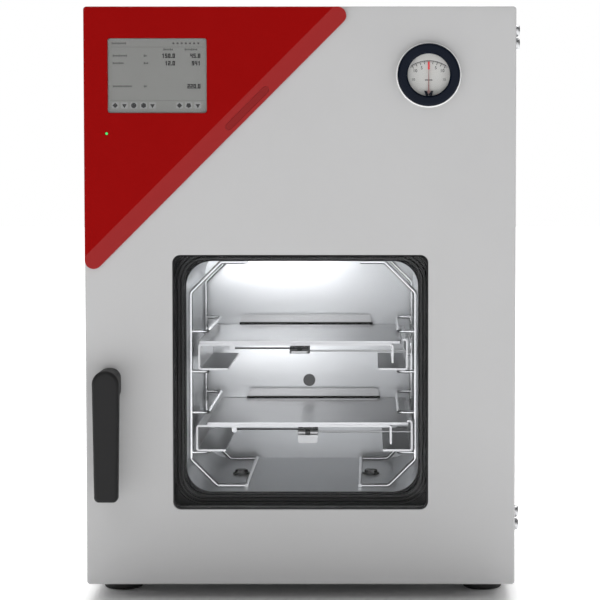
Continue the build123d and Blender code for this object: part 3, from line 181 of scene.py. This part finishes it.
def metal(name, low, high, roughness, stretch=(1, 1, 1), grain=0.0005, strength=0.1, wear=0.1, top=1.0):
    """Bare metal; a long stretch gives it brushing lines, and top darkens the colour of the faces that
    look up, as painted shade.
    """
    g = Graph(name)
    lines = g.noise(grain, 3, stretch)
    cloud = g.noise(0.06, 3)
    colour = g.blend(lines * 0.6 + cloud * 0.4, low, high)
    # Painted shade: faces that look up get a darker colour
    if top < 1.0:
        facing = g.node("ShaderNodeTexCoord", {}, "Normal")
        shade = g.node("ShaderNodeMapRange", {
            "Value": g.node("ShaderNodeSeparateXYZ", {"Vector": facing}, "Z"),
            "From Min": 0.8, "From Max": 0.95, "To Min": 1.0, "To Max": top,
        })
        colour = g.node("ShaderNodeVectorMath", {0: colour, 1: g.node(
            "ShaderNodeCombineXYZ", {0: shade, 1: shade, 2: shade},
        )}, operation="MULTIPLY")
    g.set(
        Base_Color=colour,
        Metallic=1.0,
        Roughness=roughness + (lines - 0.5) * wear + (cloud - 0.5) * wear,
    )
    g.bump(lines, strength, 0.00004)
    return g.material


def rubber(name, low, high, roughness=0.62, gloss=0.5):
    g = Graph(name)
    fine = g.noise(0.0008, 4)
    dust = g.noise(0.02, 3)
    g.set(
        Base_Color=g.blend(dust * 0.6 + fine * 0.4, low, high),
        Roughness=roughness + (dust - 0.5) * 0.2,
        Specular_IOR_Level=gloss,
    )
    g.bump(fine, 0.2, 0.00008)
    return g.material


def pane(name, tint, gloss):
    """Clear sheet: light goes straight through, with a faint reflection that grows at an angle."""
    g = Graph(name)
    smear = g.noise(0.04, 3)
    clear = g.node("ShaderNodeBsdfTransparent", {"Color": (*tint, 1)})
    shine = g.node("ShaderNodeBsdfGlossy", {"Roughness": 0.03 + smear * 0.03})
    edge = g.node("ShaderNodeLayerWeight", {"Blend": 0.35}, "Fresnel")
    mixed = g.node("ShaderNodeMixShader", {0: edge * gloss * (0.85 + smear * 0.3), 1: clear, 2: shine})
    g.plug(g.output.inputs["Surface"], mixed)
    return g.material


def lit(name, low, high, glow, roughness=0.3):
    """Plastic that gives off a little light of its own colour."""
    g = Graph(name)
    cloud = g.noise(0.02, 2)
    colour = g.blend(cloud, low, high)
    g.set(Base_Color=colour, Roughness=roughness, Emission_Color=colour, Emission_Strength=glow)
    return g.material


pale_coat = coat("pale_coat", (0.475, 0.475, 0.478), (0.505, 0.505, 0.508), coat_weight=0.08)
grey_coat = coat("grey_coat", (0.022, 0.022, 0.024), (0.032, 0.032, 0.034), roughness=0.42)
red_cover = moulded(
    "red_cover", (0.262, 0.001, 0.001), (0.282, 0.002, 0.002), 0.42, strength=0.06, gloss=0.04,
    edge_gloss=0.22,
)
deep_red = moulded("deep_red", (0.20, 0.0015, 0.0015), (0.22, 0.002, 0.002), 0.5, strength=0.06, gloss=0.2)
dark_steel = metal("dark_steel", (0.10, 0.10, 0.10), (0.16, 0.16, 0.16), 0.45, grain=0.001, strength=0.25)
chamber_steel = metal(
    "chamber_steel", (0.65, 0.66, 0.67), (0.75, 0.76, 0.77), 0.34, (1, 1, 30), 0.004, 0.12
)
# Painted shade: the chamber flange is grey steel in shadow, given a near-black colour
flange_steel_painted_shade = metal("flange_steel_painted_shade", (0.011, 0.011, 0.012), (0.018, 0.018, 0.019), 0.3, (1, 1, 12), 0.002)
wire_steel = metal("wire_steel", (0.72, 0.72, 0.725), (0.82, 0.82, 0.825), 0.10, strength=0.03, wear=0.03)
brushed_alu = ((0.57, 0.57, 0.575), (0.68, 0.68, 0.685), 0.32, (1, 26, 1), 0.003, 0.12)
shelf_alu = metal("shelf_alu", *brushed_alu)
# Shelf plates: the same metal, with painted shade on their upward faces
plate_alu_painted_shade = metal("plate_alu_painted_shade", *brushed_alu, top=0.72)
frame_alu = metal("frame_alu", (0.45, 0.45, 0.45), (0.55, 0.55, 0.55), 0.36, grain=0.001)
zinc_steel = metal("zinc_steel", (0.42, 0.43, 0.44), (0.56, 0.56, 0.57), 0.33, grain=0.004, wear=0.2)
spring_steel = metal("spring_steel", (0.42, 0.42, 0.42), (0.55, 0.55, 0.55), 0.22, strength=0.03)
bronze = metal("bronze", (0.42, 0.26, 0.11), (0.56, 0.37, 0.17), 0.42, grain=0.0006, strength=0.2)
seal_black = rubber("seal_black", (0.004, 0.004, 0.0045), (0.009, 0.009, 0.010), 0.26, 0.2)
foot_rubber = rubber("foot_rubber", (0.006, 0.006, 0.006), (0.014, 0.014, 0.014))
mat_rubber = rubber("mat_rubber", (0.28, 0.06, 0.03), (0.36, 0.09, 0.05))
handle_black = moulded(
    "handle_black", (0.010, 0.010, 0.0105), (0.014, 0.014, 0.0145), 0.5, 0.0005, 0.25, 0.2
)
fitting_black = moulded("fitting_black", (0.014, 0.014, 0.015), (0.022, 0.022, 0.023), 0.45)
gauge_black = moulded(
    "gauge_black", (0.002, 0.004, 0.010), (0.004, 0.007, 0.016), 0.28, strength=0.05, gloss=0.1
)
needle_dull = moulded("needle_dull", (0.34, 0.18, 0.17), (0.40, 0.22, 0.21), 0.4, strength=0.03)
key_grey = moulded("key_grey", (0.26, 0.265, 0.26), (0.28, 0.285, 0.28), 0.5, strength=0.02)
# White of the ring round the gauge, a painted highlight
highlight_ring_white = moulded("highlight_ring_white", (0.86, 0.86, 0.86), (0.92, 0.92, 0.92), 0.4)
clamp_grey = moulded("clamp_grey", (0.03, 0.03, 0.03), (0.055, 0.055, 0.055), 0.4)
dial_white = moulded("dial_white", (0.66, 0.65, 0.62), (0.72, 0.71, 0.68), 0.5, strength=0.03)
needle_red = moulded("needle_red", (0.82, 0.05, 0.06), (0.90, 0.07, 0.08), 0.35, strength=0.03)
screen_grey = moulded("screen_grey", (0.205, 0.207, 0.198), (0.225, 0.227, 0.218), 0.4, strength=0.02)
board_green = moulded("board_green", (0.02, 0.11, 0.04), (0.03, 0.16, 0.07), 0.3)
led_green = lit("led_green", (0.03, 0.5, 0.1), (0.05, 0.65, 0.15), 0.6)
clear_sheet = pane("clear_sheet", (0.985, 0.986, 0.988), 0.09)
window_glass = pane("window_glass", (0.970, 0.973, 0.978), 0.09)
print_black = moulded("print_black", (0.012, 0.012, 0.013), (0.02, 0.02, 0.022), 0.5, strength=0.02)
print_grey = moulded("print_grey", (0.05, 0.052, 0.05), (0.07, 0.072, 0.07), 0.5, strength=0.02)


def glass_wool(name):
    g = Graph(name)
    strands = g.noise(0.004, 6, (1, 4, 1), 0.7)
    g.set(Base_Color=g.blend(strands, (0.45, 0.38, 0.2), (0.7, 0.64, 0.45)), Roughness=0.95)
    g.bump(strands, 0.7, 0.0015)
    return g.material


wool = glass_wool("wool")


def ribbed_seal_painted_crests(name, front, depth):
    """Rubber with painted highlights: the rib crests get a lighter colour and more gloss, and painted
    shade keeps the valleys black.
    """
    g = Graph(name)
    fine = g.noise(0.0008, 4)
    dust = g.noise(0.02, 3)
    # Painted highlight on the crests and painted shade in the valleys, by depth
    crest_highlight = g.node("ShaderNodeMapRange", {
        "Value": g.along("Y"), "From Min": front + depth * 0.7, "From Max": front + depth * 0.1,
    })
    g.set(
        Base_Color=g.blend(crest_highlight * (0.7 + dust * 0.3), (0.002, 0.002, 0.002), (0.030, 0.030, 0.031)),
        Roughness=0.3 + (dust - 0.5) * 0.1,
        Specular_IOR_Level=0.06 + crest_highlight * 0.4,
    )
    g.bump(fine, 0.1, 0.00005)
    return g.material


rib_depth = 2.2 * MM
gasket_black = ribbed_seal_painted_crests("gasket_black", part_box("door_gasket")[0].y, rib_depth)

slot_materials = {
    "pale_coat": pale_coat, "grey_coat": grey_coat, "red_cover": red_cover,
    "chamber_steel": chamber_steel, "wire_steel": wire_steel, "shelf_alu": shelf_alu,
    "frame_alu": frame_alu, "zinc_steel": zinc_steel, "spring_steel": spring_steel,
    "bronze": bronze, "seal_black": seal_black, "foot_rubber": foot_rubber,
    "mat_rubber": mat_rubber, "wool": wool, "handle_black": handle_black,
    "fitting_black": fitting_black, "gauge_blue_black": gauge_black, "dial_white": dial_white,
    "needle_red": needle_red, "screen": screen_grey, "board_green": board_green,
    "led_green": led_green, "window_glass": window_glass, "clear_sheet": clear_sheet,
    "clamp_grey": clamp_grey,
}
node_slots = {row["node"]: row["material_slot"] for row in frame["record"]["subparts"]}


crease = 32
shallow_crease = 12


def smooth(obj, angle=crease):
    """Smooth shading with hard edges kept, by modifiers that leave the mesh itself alone."""
    for polygon in obj.data.polygons:
        polygon.use_smooth = True
    weld = obj.modifiers.new("weld", "WELD")
    weld.merge_threshold = 1e-6
    split = obj.modifiers.new("split", "EDGE_SPLIT")
    split.split_angle = math.radians(angle)


for name, obj in nodes.items():
    obj.data.materials.clear()
    obj.data.materials.append(slot_materials[node_slots[name]])
    smooth(obj, shallow_crease if name == "control_fascia" else crease)

# Pieces that look different from the rest of their slot
for name, material in {
    "chamber_flange": flange_steel_painted_shade, "door_gasket": gasket_black, "shatter_shield": clear_sheet,
    "floor_bolts": dark_steel, "port_screen": dark_steel, "port_cover": deep_red,
    "gauge_pointer": needle_dull, "upper_shelf_plate": plate_alu_painted_shade, "lower_shelf_plate": plate_alu_painted_shade,
}.items():
    nodes[name].data.materials[0] = material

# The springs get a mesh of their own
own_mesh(nodes["pane_springs"])


# Helpers for the pieces that are made here
def finish_mesh(bm, name, body, material):
    """Turns a bmesh into a piece that rides on a body."""
    bmesh.ops.recalc_face_normals(bm, faces=bm.faces)
    mesh = bpy.data.meshes.new(name)
    bm.to_mesh(mesh)
    bm.free()
    obj = bpy.data.objects.new(name, mesh)
    scene.collection.objects.link(obj)
    mesh.materials.append(material)
    smooth(obj)
    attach(obj, body)


def slab(bm, points, front, back, bevel=0.0):
    """Adds a flat shape in X and Z, from the depth of its front to that of its back."""
    front_ring = [bm.verts.new((x, front, z)) for x, z in points]
    back_ring = [bm.verts.new((x, back, z)) for x, z in points]
    count = len(points)
    top = bm.faces.new(front_ring)
    bm.faces.new(list(reversed(back_ring)))
    for i in range(count):
        j = (i + 1) % count
        bm.faces.new((front_ring[i], back_ring[i], back_ring[j], front_ring[j]))
    if bevel:
        bmesh.ops.bevel(
            bm, geom=list(top.edges), offset=bevel, offset_type="OFFSET", segments=3, profile=0.5,
            affect="EDGES", material=-1,
        )


def rounded(x, z, width, height, corner, steps=5):
    """Outline of a rectangle with round corners about a middle point."""
    points = []
    for quarter, (sx, sz) in enumerate(((1, 1), (-1, 1), (-1, -1), (1, -1))):
        cx = x + sx * (width / 2 - corner)
        cz = z + sz * (height / 2 - corner)
        for step in range(steps + 1):
            turn = math.pi / 2 * (quarter + step / steps)
            points.append((cx + corner * math.cos(turn), cz + corner * math.sin(turn)))
    return points


def bar(start, end, width):
    """Outline of a straight stroke between two points of X and Z."""
    a, b = Vector(start), Vector(end)
    side = (b - a).normalized().orthogonal() * width / 2
    return [tuple(a + side), tuple(a - side), tuple(b - side), tuple(b + side)]


def arc_points(centre, radius, start, end, steps):
    return [
        (centre[0] + radius * math.sin(turn), centre[1] + radius * math.cos(turn))
        for turn in (math.radians(start + (end - start) * i / steps) for i in range(steps + 1))
    ]


def band(centre, inner, outer, start, end, steps):
    """Outline of a part of a ring; angles run clockwise from the top, in degrees."""
    return arc_points(centre, outer, start, end, steps) + arc_points(centre, inner, end, start, steps)


def write(words, height, x, z, y, name, body, material, bold):
    """Puts plain figures on a face that looks to the front; bold widens each stroke by that much."""
    flatness = 0.08
    curve = bpy.data.curves.new(name, "FONT")
    curve.body = words
    curve.size = height
    curve.align_x = "CENTER"
    curve.align_y = "CENTER"
    curve.bevel_depth = bold
    curve.bevel_resolution = 1
    obj = bpy.data.objects.new(name, curve)
    scene.collection.objects.link(obj)
    obj.rotation_euler = (math.pi / 2, 0, 0)
    obj.location = (x, y, z)
    bpy.context.view_layer.update()
    mesh = bpy.data.meshes.new_from_object(obj.evaluated_get(bpy.context.evaluated_depsgraph_get()))
    mesh.transform(Matrix.Diagonal((1, 1, flatness, 1)))
    mesh.transform(obj.matrix_world)
    bpy.data.objects.remove(obj)
    made = bpy.data.objects.new(name, mesh)
    scene.collection.objects.link(made)
    mesh.materials.clear()
    mesh.materials.append(material)
    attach(made, body)


def lathe(name, profile, centre, body, material, steps=96):
    """Spins a closed profile of (radius, depth) pairs round a line that runs front to back."""
    bm = bmesh.new()
    ring = [bm.verts.new((centre[0] + radius, depth, centre[1])) for radius, depth in profile]
    edges = [bm.edges.new((ring[i], ring[(i + 1) % len(ring)])) for i in range(len(ring))]
    bmesh.ops.spin(
        bm, geom=ring + edges, cent=(centre[0], 0, centre[1]), axis=(0, 1, 0),
        angle=2 * math.pi, steps=steps, use_merge=True,
    )
    finish_mesh(bm, name, body, material)


# Gauge: a white ring round the housing, a painted highlight on its rim
gauge_low, gauge_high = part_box("gauge_case")
gauge_radius = (gauge_high.x - gauge_low.x) / 2
gauge_spot = (dial_centre.x, dial_centre.z)
lathe(
    "gauge_highlight_ring",
    [
        (gauge_radius + wider * MM, door_front - proud * MM)
        for wider, proud in ((-0.2, 0.05), (1.5, 0.05), (1.3, 0.8), (0.6, 1.2), (-0.2, 1.2))
    ],
    gauge_spot, "door", highlight_ring_white,
)

# Gauge: scale, whose radii are taken from the needle's pivot, and figures
tick_step = 2.0
long_tick_start, short_tick_start, tick_end = 34.0 * MM, 36.0 * MM, 38.2 * MM
long_tick_width, short_tick_width = 0.75 * MM, 0.4 * MM
arc_inner, arc_outer, arc_reach = 37.6 * MM, 38.3 * MM, 33
visible_dial = 24.6 * MM
figure_radius, figure_height = 30.5 * MM, 5.2 * MM
side_figure_radius, side_figure_height = 24 * MM, 4.2 * MM
ink = dial_front - 0.04 * MM
pivot_spot = (pivot.x, pivot.z)
scale_mesh = bmesh.new()
for tick in range(-20, 21):
    turn = tick * tick_step
    start, width = (
        (long_tick_start, long_tick_width) if tick % 4 == 0 else (short_tick_start, short_tick_width)
    )
    a = arc_points(pivot_spot, start, turn, turn, 1)[0]
    b = arc_points(pivot_spot, tick_end, turn, turn, 1)[0]
    if (Vector(b) - Vector(gauge_spot)).length < visible_dial:
        slab(scale_mesh, bar(a, b, width), ink, dial_front)
slab(scale_mesh, band(pivot_spot, arc_inner, arc_outer, -arc_reach, arc_reach, 40), ink, dial_front)
finish_mesh(scale_mesh, "gauge_scale", "door", print_black)

for index, turn in ((0, -32), (1, -16), (3, 16), (4, 32)):
    x, z = arc_points(pivot_spot, figure_radius, turn, turn, 1)[0]
    write(
        str(5 * abs(index - 2)), figure_height, x, z, ink, "gauge_figure_%d" % index, "door",
        print_black, 0.06 * MM,
    )
for index, turn in ((0, -50), (1, 50)):
    x, z = arc_points(pivot_spot, side_figure_radius, turn, turn, 1)[0]
    write(
        str(10 + 5 * index), side_figure_height, x, z, ink, "gauge_side_figure_%d" % index, "door",
        print_grey, 0.05 * MM,
    )
label_up, label_width, label_height, label_corner = 15 * MM, 9 * MM, 1.2 * MM, 0.4 * MM
label_mesh = bmesh.new()
slab(
    label_mesh, rounded(pivot.x, pivot.z + label_up, label_width, label_height, label_corner, 3),
    ink, dial_front,
)
finish_mesh(label_mesh, "gauge_label", "door", print_grey)

# Gauge: cover of the hub, a V of two leaves, and the red tip of the pointer

hub_mesh = bmesh.new()
for side in (-1, 1):
    slab(
        hub_mesh,
        [
            (pivot.x + side * across * MM, pivot.z + up * MM)
            for across, up in ((5.4, 2.2), (2.6, 2.0), (0.3, -1.8), (0.3, -4.8), (3.4, -4.4))
        ],
        pointer_front - 1.2 * MM, pointer_front - 0.2 * MM,
    )
finish_mesh(hub_mesh, "gauge_hub_cover", "door", gauge_black)

tip_mesh = bmesh.new()
slab(
    tip_mesh,
    [
        (pivot.x + across * MM, pivot.z + up * MM)
        for across, up in ((-1.1, 28.0), (-0.5, 26.8), (0.5, 26.8), (1.1, 28.0), (1.1, 36.6), (-1.1, 36.6))
    ],
    pointer_front - 0.25 * MM, pointer_front + 0.1 * MM,
)
finish_mesh(tip_mesh, "gauge_pointer_tip", "needle", needle_red)

# Display: what it shows lies on the module, behind the touch glass
screen_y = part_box("display_module")[0].y - 0.02 * MM
print_depth = 0.03 * MM
screen_width = glass_high.x - glass_low.x
screen_height = glass_high.z - glass_low.z


def on_screen(u, v):
    """Place on the screen from 0 to 1 across and down."""
    return glass_low.x + u * screen_width, glass_high.z - v * screen_height


def screen_slab(bm, u, v, wide, high, corner=0.0):
    x, z = on_screen(u, v)
    outline = (
        rounded(x, z, wide, high, corner, 3) if corner
        else [(x + sx * wide / 2, z + sz * high / 2) for sx, sz in ((1, 1), (-1, 1), (-1, -1), (1, -1))]
    )
    slab(bm, outline, screen_y, screen_y + 0.015 * MM)


lines_mesh = bmesh.new()
for v in (0.115, 0.835):
    screen_slab(lines_mesh, 0.5, v, 0.95 * screen_width, 0.25 * MM)

# Rows of small blocks stand for the captions
block_step, block_width = 0.0165, 1.35 * MM
tall_block, low_block = 2.6 * MM, 1.9 * MM
sign_step, sign_width, sign_height, sign_corner = 0.042, 2.4 * MM, 2.2 * MM, 0.6 * MM
for left, v, count in (
    (0.045, 0.065, 9), (0.57, 0.148, 6), (0.785, 0.148, 8), (0.055, 0.232, 9), (0.055, 0.332, 7),
    (0.37, 0.232, 2), (0.37, 0.332, 3), (0.055, 0.642, 12), (0.37, 0.642, 2),
):
    for index in range(count):
        high = low_block if index % 4 else tall_block
        screen_slab(lines_mesh, left + index * block_step, v, block_width, high)
for index in range(7):
    u = 0.665 + index * sign_step
    screen_slab(lines_mesh, u, 0.065, sign_width, sign_height, sign_corner)
finish_mesh(lines_mesh, "screen_marks", "door", print_grey)

# Keys along the foot of the screen, each with a plain icon of so many corners
key_row = 0.90
key_width, key_height, key_corner, icon_radius = 8.4 * MM, 7.6 * MM, 1 * MM, 3.2 * MM
keys_mesh = bmesh.new()
icons_mesh = bmesh.new()
for u, corners in (
    (0.072, 4), (0.165, 3), (0.26, 12), (0.36, 6), (0.45, 3), (0.724, 4), (0.817, 5), (0.91, 3),
):
    x, z = on_screen(u, key_row)
    outline = rounded(x, z, key_width, key_height, key_corner, 3)
    slab(keys_mesh, outline, screen_y, screen_y + 0.01 * MM)
    ring = [
        (x + icon_radius * math.sin(turn), z - icon_radius * math.cos(turn))
        for turn in (2 * math.pi * index / corners for index in range(corners))
    ]
    slab(icons_mesh, ring, screen_y - print_depth, screen_y - 0.01 * MM)
finish_mesh(keys_mesh, "screen_keys", "door", key_grey)
finish_mesh(icons_mesh, "screen_buttons", "door", print_black)

# Bold figures, each of up to seven strokes: place of the middle and size, in mm
stroke = 1.25
strokes = {
    "a": (0.0, 2.05, 3.05, stroke), "g": (0.0, 0.0, 3.05, stroke), "d": (0.0, -2.05, 3.05, stroke),
    "f": (-0.9, 1.025, stroke, 3.3), "b": (0.9, 1.025, stroke, 3.3),
    "e": (-0.9, -1.025, stroke, 3.3), "c": (0.9, -1.025, stroke, 3.3),
    "i": (0.2, 0.0, stroke, 5.35), "j": (-0.6, 1.4, 1.2, 1.1), ".": (0.0, -2.05, stroke, stroke),
}
figures = {
    "0": "abcdef", "1": "ij", "2": "abged", "4": "fgbc", "5": "afgcd", "8": "abcdefg", "9": "abcdfg",
    ".": ".",
}
half_figure, half_point = 1.8 * MM, 0.85 * MM
for index, (words, u, v) in enumerate((
    ("150.0", 0.683, 0.232), ("45.8", 0.94, 0.232), ("12.0", 0.683, 0.332), ("941", 0.94, 0.332),
    ("220.0", 0.94, 0.642),
)):
    x, z = on_screen(u, v)
    figure_mesh = bmesh.new()
    for sign in reversed(words):
        half = half_point if sign == "." else half_figure
        x -= half
        for letter in figures[sign]:
            across, up, wide, high = strokes[letter]
            slab(
                figure_mesh, rounded(x + across * MM, z + up * MM, wide * MM, high * MM, 0.2 * MM, 2),
                screen_y - print_depth, screen_y,
            )
        x -= half
    finish_mesh(figure_mesh, "screen_figure_%d" % index, "door", print_black)

# Gauze behind the holes of the vacuum port, and a sintered plug in the gas inlet
port_low, port_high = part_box("port_screen")
nipple_low, nipple_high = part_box("gas_nipple")
port_spot = ((port_low.x + port_high.x) / 2, (port_low.z + port_high.z) / 2)
inlet_spot = ((nipple_low.x + nipple_high.x) / 2, port_spot[1])
gauze_radius = (port_high.x - port_low.x) / 2 - 0.4 * MM
plug_radius = 2.45 * MM
for name, spot, radius, material, slot in (
    ("port_gauze", port_spot, gauze_radius, dark_steel, "bronze"),
    ("gas_inlet_plug", inlet_spot, plug_radius, chamber_steel, "chamber_steel"),
):
    disc = bmesh.new()
    slab(disc, arc_points(spot, radius, 0, 345, 23), port_low.y + 0.2 * MM, port_low.y + 1.0 * MM)
    finish_mesh(disc, name, "cabinet", material)

# Painted shadow: a black strip on each shelf, in front of the stop tab at its rear, where there is only
# shade
strip_height, strip_lift, strip_overhang, strip_corner = 3.6 * MM, 0.05 * MM, 2 * MM, 0.2 * MM
near = 5 * MM
for shelf in ("upper_shelf", "lower_shelf"):
    spots = [vertex.co for vertex in nodes[shelf + "_plate"].data.vertices]
    front = min(spot.y for spot in spots)
    plate_top = max(spot.z for spot in spots if spot.y < front + near)
    tab = [spot for spot in spots if spot.z > plate_top + near]
    tab_left, tab_right = min(spot.x for spot in tab), max(spot.x for spot in tab)
    tab_front = min(spot.y for spot in tab)
    shadow_strip = bmesh.new()
    slab(
        shadow_strip,
        rounded(
            (tab_left + tab_right) / 2, plate_top + strip_lift + strip_height / 2,
            tab_right - tab_left + 2 * strip_overhang, strip_height, strip_corner, 3,
        ),
        tab_front - 1.0 * MM, tab_front - 0.1 * MM,
    )
    finish_mesh(shadow_strip, shelf + "_painted_shadow_strip", shelf, seal_black)

# Floor: white paper that glows everywhere but round the feet, where it shows the shadow
half_width, shadow_ahead, ahead_share = 0.2575, 0.37, 0.3
floor = Graph("floor")
speck = floor.noise(0.3, 2)
aside, ahead = (
    floor.node("ShaderNodeMath", {0: floor.along(axis)}, operation="ABSOLUTE") - reach
    for axis, reach in (("X", half_width), ("Y", shadow_ahead))
)
glow = floor.node(
    "ShaderNodeMapRange",
    {
        "Value": aside.maths("MAXIMUM", aside, ahead * ahead_share), "From Min": -0.03,
        "From Max": 0.05, "To Max": 0.95,
    },
    interpolation_type="SMOOTHSTEP",
)
floor.set(
    Base_Color=floor.blend(speck, (0.93, 0.93, 0.93), (0.95, 0.95, 0.95)),
    Roughness=0.9,
    Emission_Color=floor.node("ShaderNodeCombineColor", {0: glow, 1: glow, 2: glow}),
    Emission_Strength=1.0,
)
floor_mesh = bmesh.new()
bmesh.ops.create_grid(floor_mesh, x_segments=8, y_segments=8, size=14)
ground = bpy.data.meshes.new("ground")
floor_mesh.to_mesh(ground)
floor_mesh.free()
ground_obj = bpy.data.objects.new("ground", ground)
scene.collection.objects.link(ground_obj)
ground.materials.append(floor.material)

# Light: an even white room, soft boxes and two lamps inside the chamber
world = bpy.data.worlds.new("studio")
scene.world = world
world.use_nodes = True
tree = world.node_tree
tree.nodes.clear()
out = tree.nodes.new("ShaderNodeOutputWorld")
mix = tree.nodes.new("ShaderNodeMixShader")
paths = tree.nodes.new("ShaderNodeLightPath")
soft = tree.nodes.new("ShaderNodeBackground")
soft.inputs["Strength"].default_value = 0.325
mirrored = tree.nodes.new("ShaderNodeBackground")
plain = tree.nodes.new("ShaderNodeBackground")
for shade in (soft, mirrored, plain):
    shade.inputs["Color"].default_value = (1, 1, 1, 1)
# Reflections see a bright card in front of the oven and a dimmer room round it
looking = tree.nodes.new("ShaderNodeTexCoord")
parts = tree.nodes.new("ShaderNodeSeparateXYZ")
card = tree.nodes.new("ShaderNodeMapRange")
card.interpolation_type = "SMOOTHSTEP"
card.inputs["From Min"].default_value = -0.75
card.inputs["From Max"].default_value = -0.97
card.inputs["To Min"].default_value = 0.1
card.inputs["To Max"].default_value = 1.2
tree.links.new(looking.outputs["Generated"], parts.inputs[0])
tree.links.new(parts.outputs["Y"], card.inputs["Value"])
tree.links.new(card.outputs[0], mirrored.inputs["Strength"])
second = tree.nodes.new("ShaderNodeMixShader")
tree.links.new(paths.outputs["Is Glossy Ray"], second.inputs[0])
tree.links.new(plain.outputs[0], second.inputs[1])
tree.links.new(mirrored.outputs[0], second.inputs[2])
tree.links.new(paths.outputs["Is Diffuse Ray"], mix.inputs[0])
tree.links.new(second.outputs[0], mix.inputs[1])
tree.links.new(soft.outputs[0], mix.inputs[2])
tree.links.new(mix.outputs[0], out.inputs["Surface"])


def softbox(name, spot, target, size, power):
    light = bpy.data.lights.new(name, "AREA")
    light.shape = "RECTANGLE"
    light.size, light.size_y = size
    light.energy = power
    lamp = bpy.data.objects.new(name, light)
    scene.collection.objects.link(lamp)
    lamp.location = spot
    lamp.rotation_euler = (Vector(target) - Vector(spot)).to_track_quat("-Z", "Y").to_euler()
    return lamp


softbox("key", (-0.9, -2.4, 2.1), (0, -0.2, 0.6), (1.6, 1.2), 7)
softbox("side", (2.4, -1.6, 1.4), (0, 0, 0.45), (1.2, 1.6), 2.5)
softbox("above", (0, 0.9, 3.2), (0, 0.3, 0), (3.4, 2.2), 90)
for name, spot, target, size, power in (
    ("inside_top", (-0.05, -0.11, 0.390), (0.05, 0.11, 0.388), (0.18, 0.015), 0.066),
    ("inside_low", (-0.06, -0.10, 0.266), (0.02, 0.11, 0.260), (0.16, 0.012), 0.031),
):
    lamp = softbox(name, spot, target, size, power)
    lamp.data.spread = math.radians(125)
    lamp.visible_camera = False

# Camera
camera = bpy.data.cameras.new("camera")
camera.lens = 120.66
camera.sensor_width = 36
camera.shift_x = -0.1162
camera.shift_y = -0.0768
camera.dof.use_dof = False
camera_obj = bpy.data.objects.new("camera", camera)
scene.collection.objects.link(camera_obj)
camera_obj.location = (0.083, -2.640, 0.526)
camera_obj.rotation_euler = (math.radians(90 - 2.57), 0, 0)
scene.camera = camera_obj

scene.render.engine = "CYCLES"
scene.view_settings.view_transform = "Standard"
scene.view_settings.look = "None"
scene.cycles.max_bounces = 10
scene.cycles.transparent_max_bounces = 24
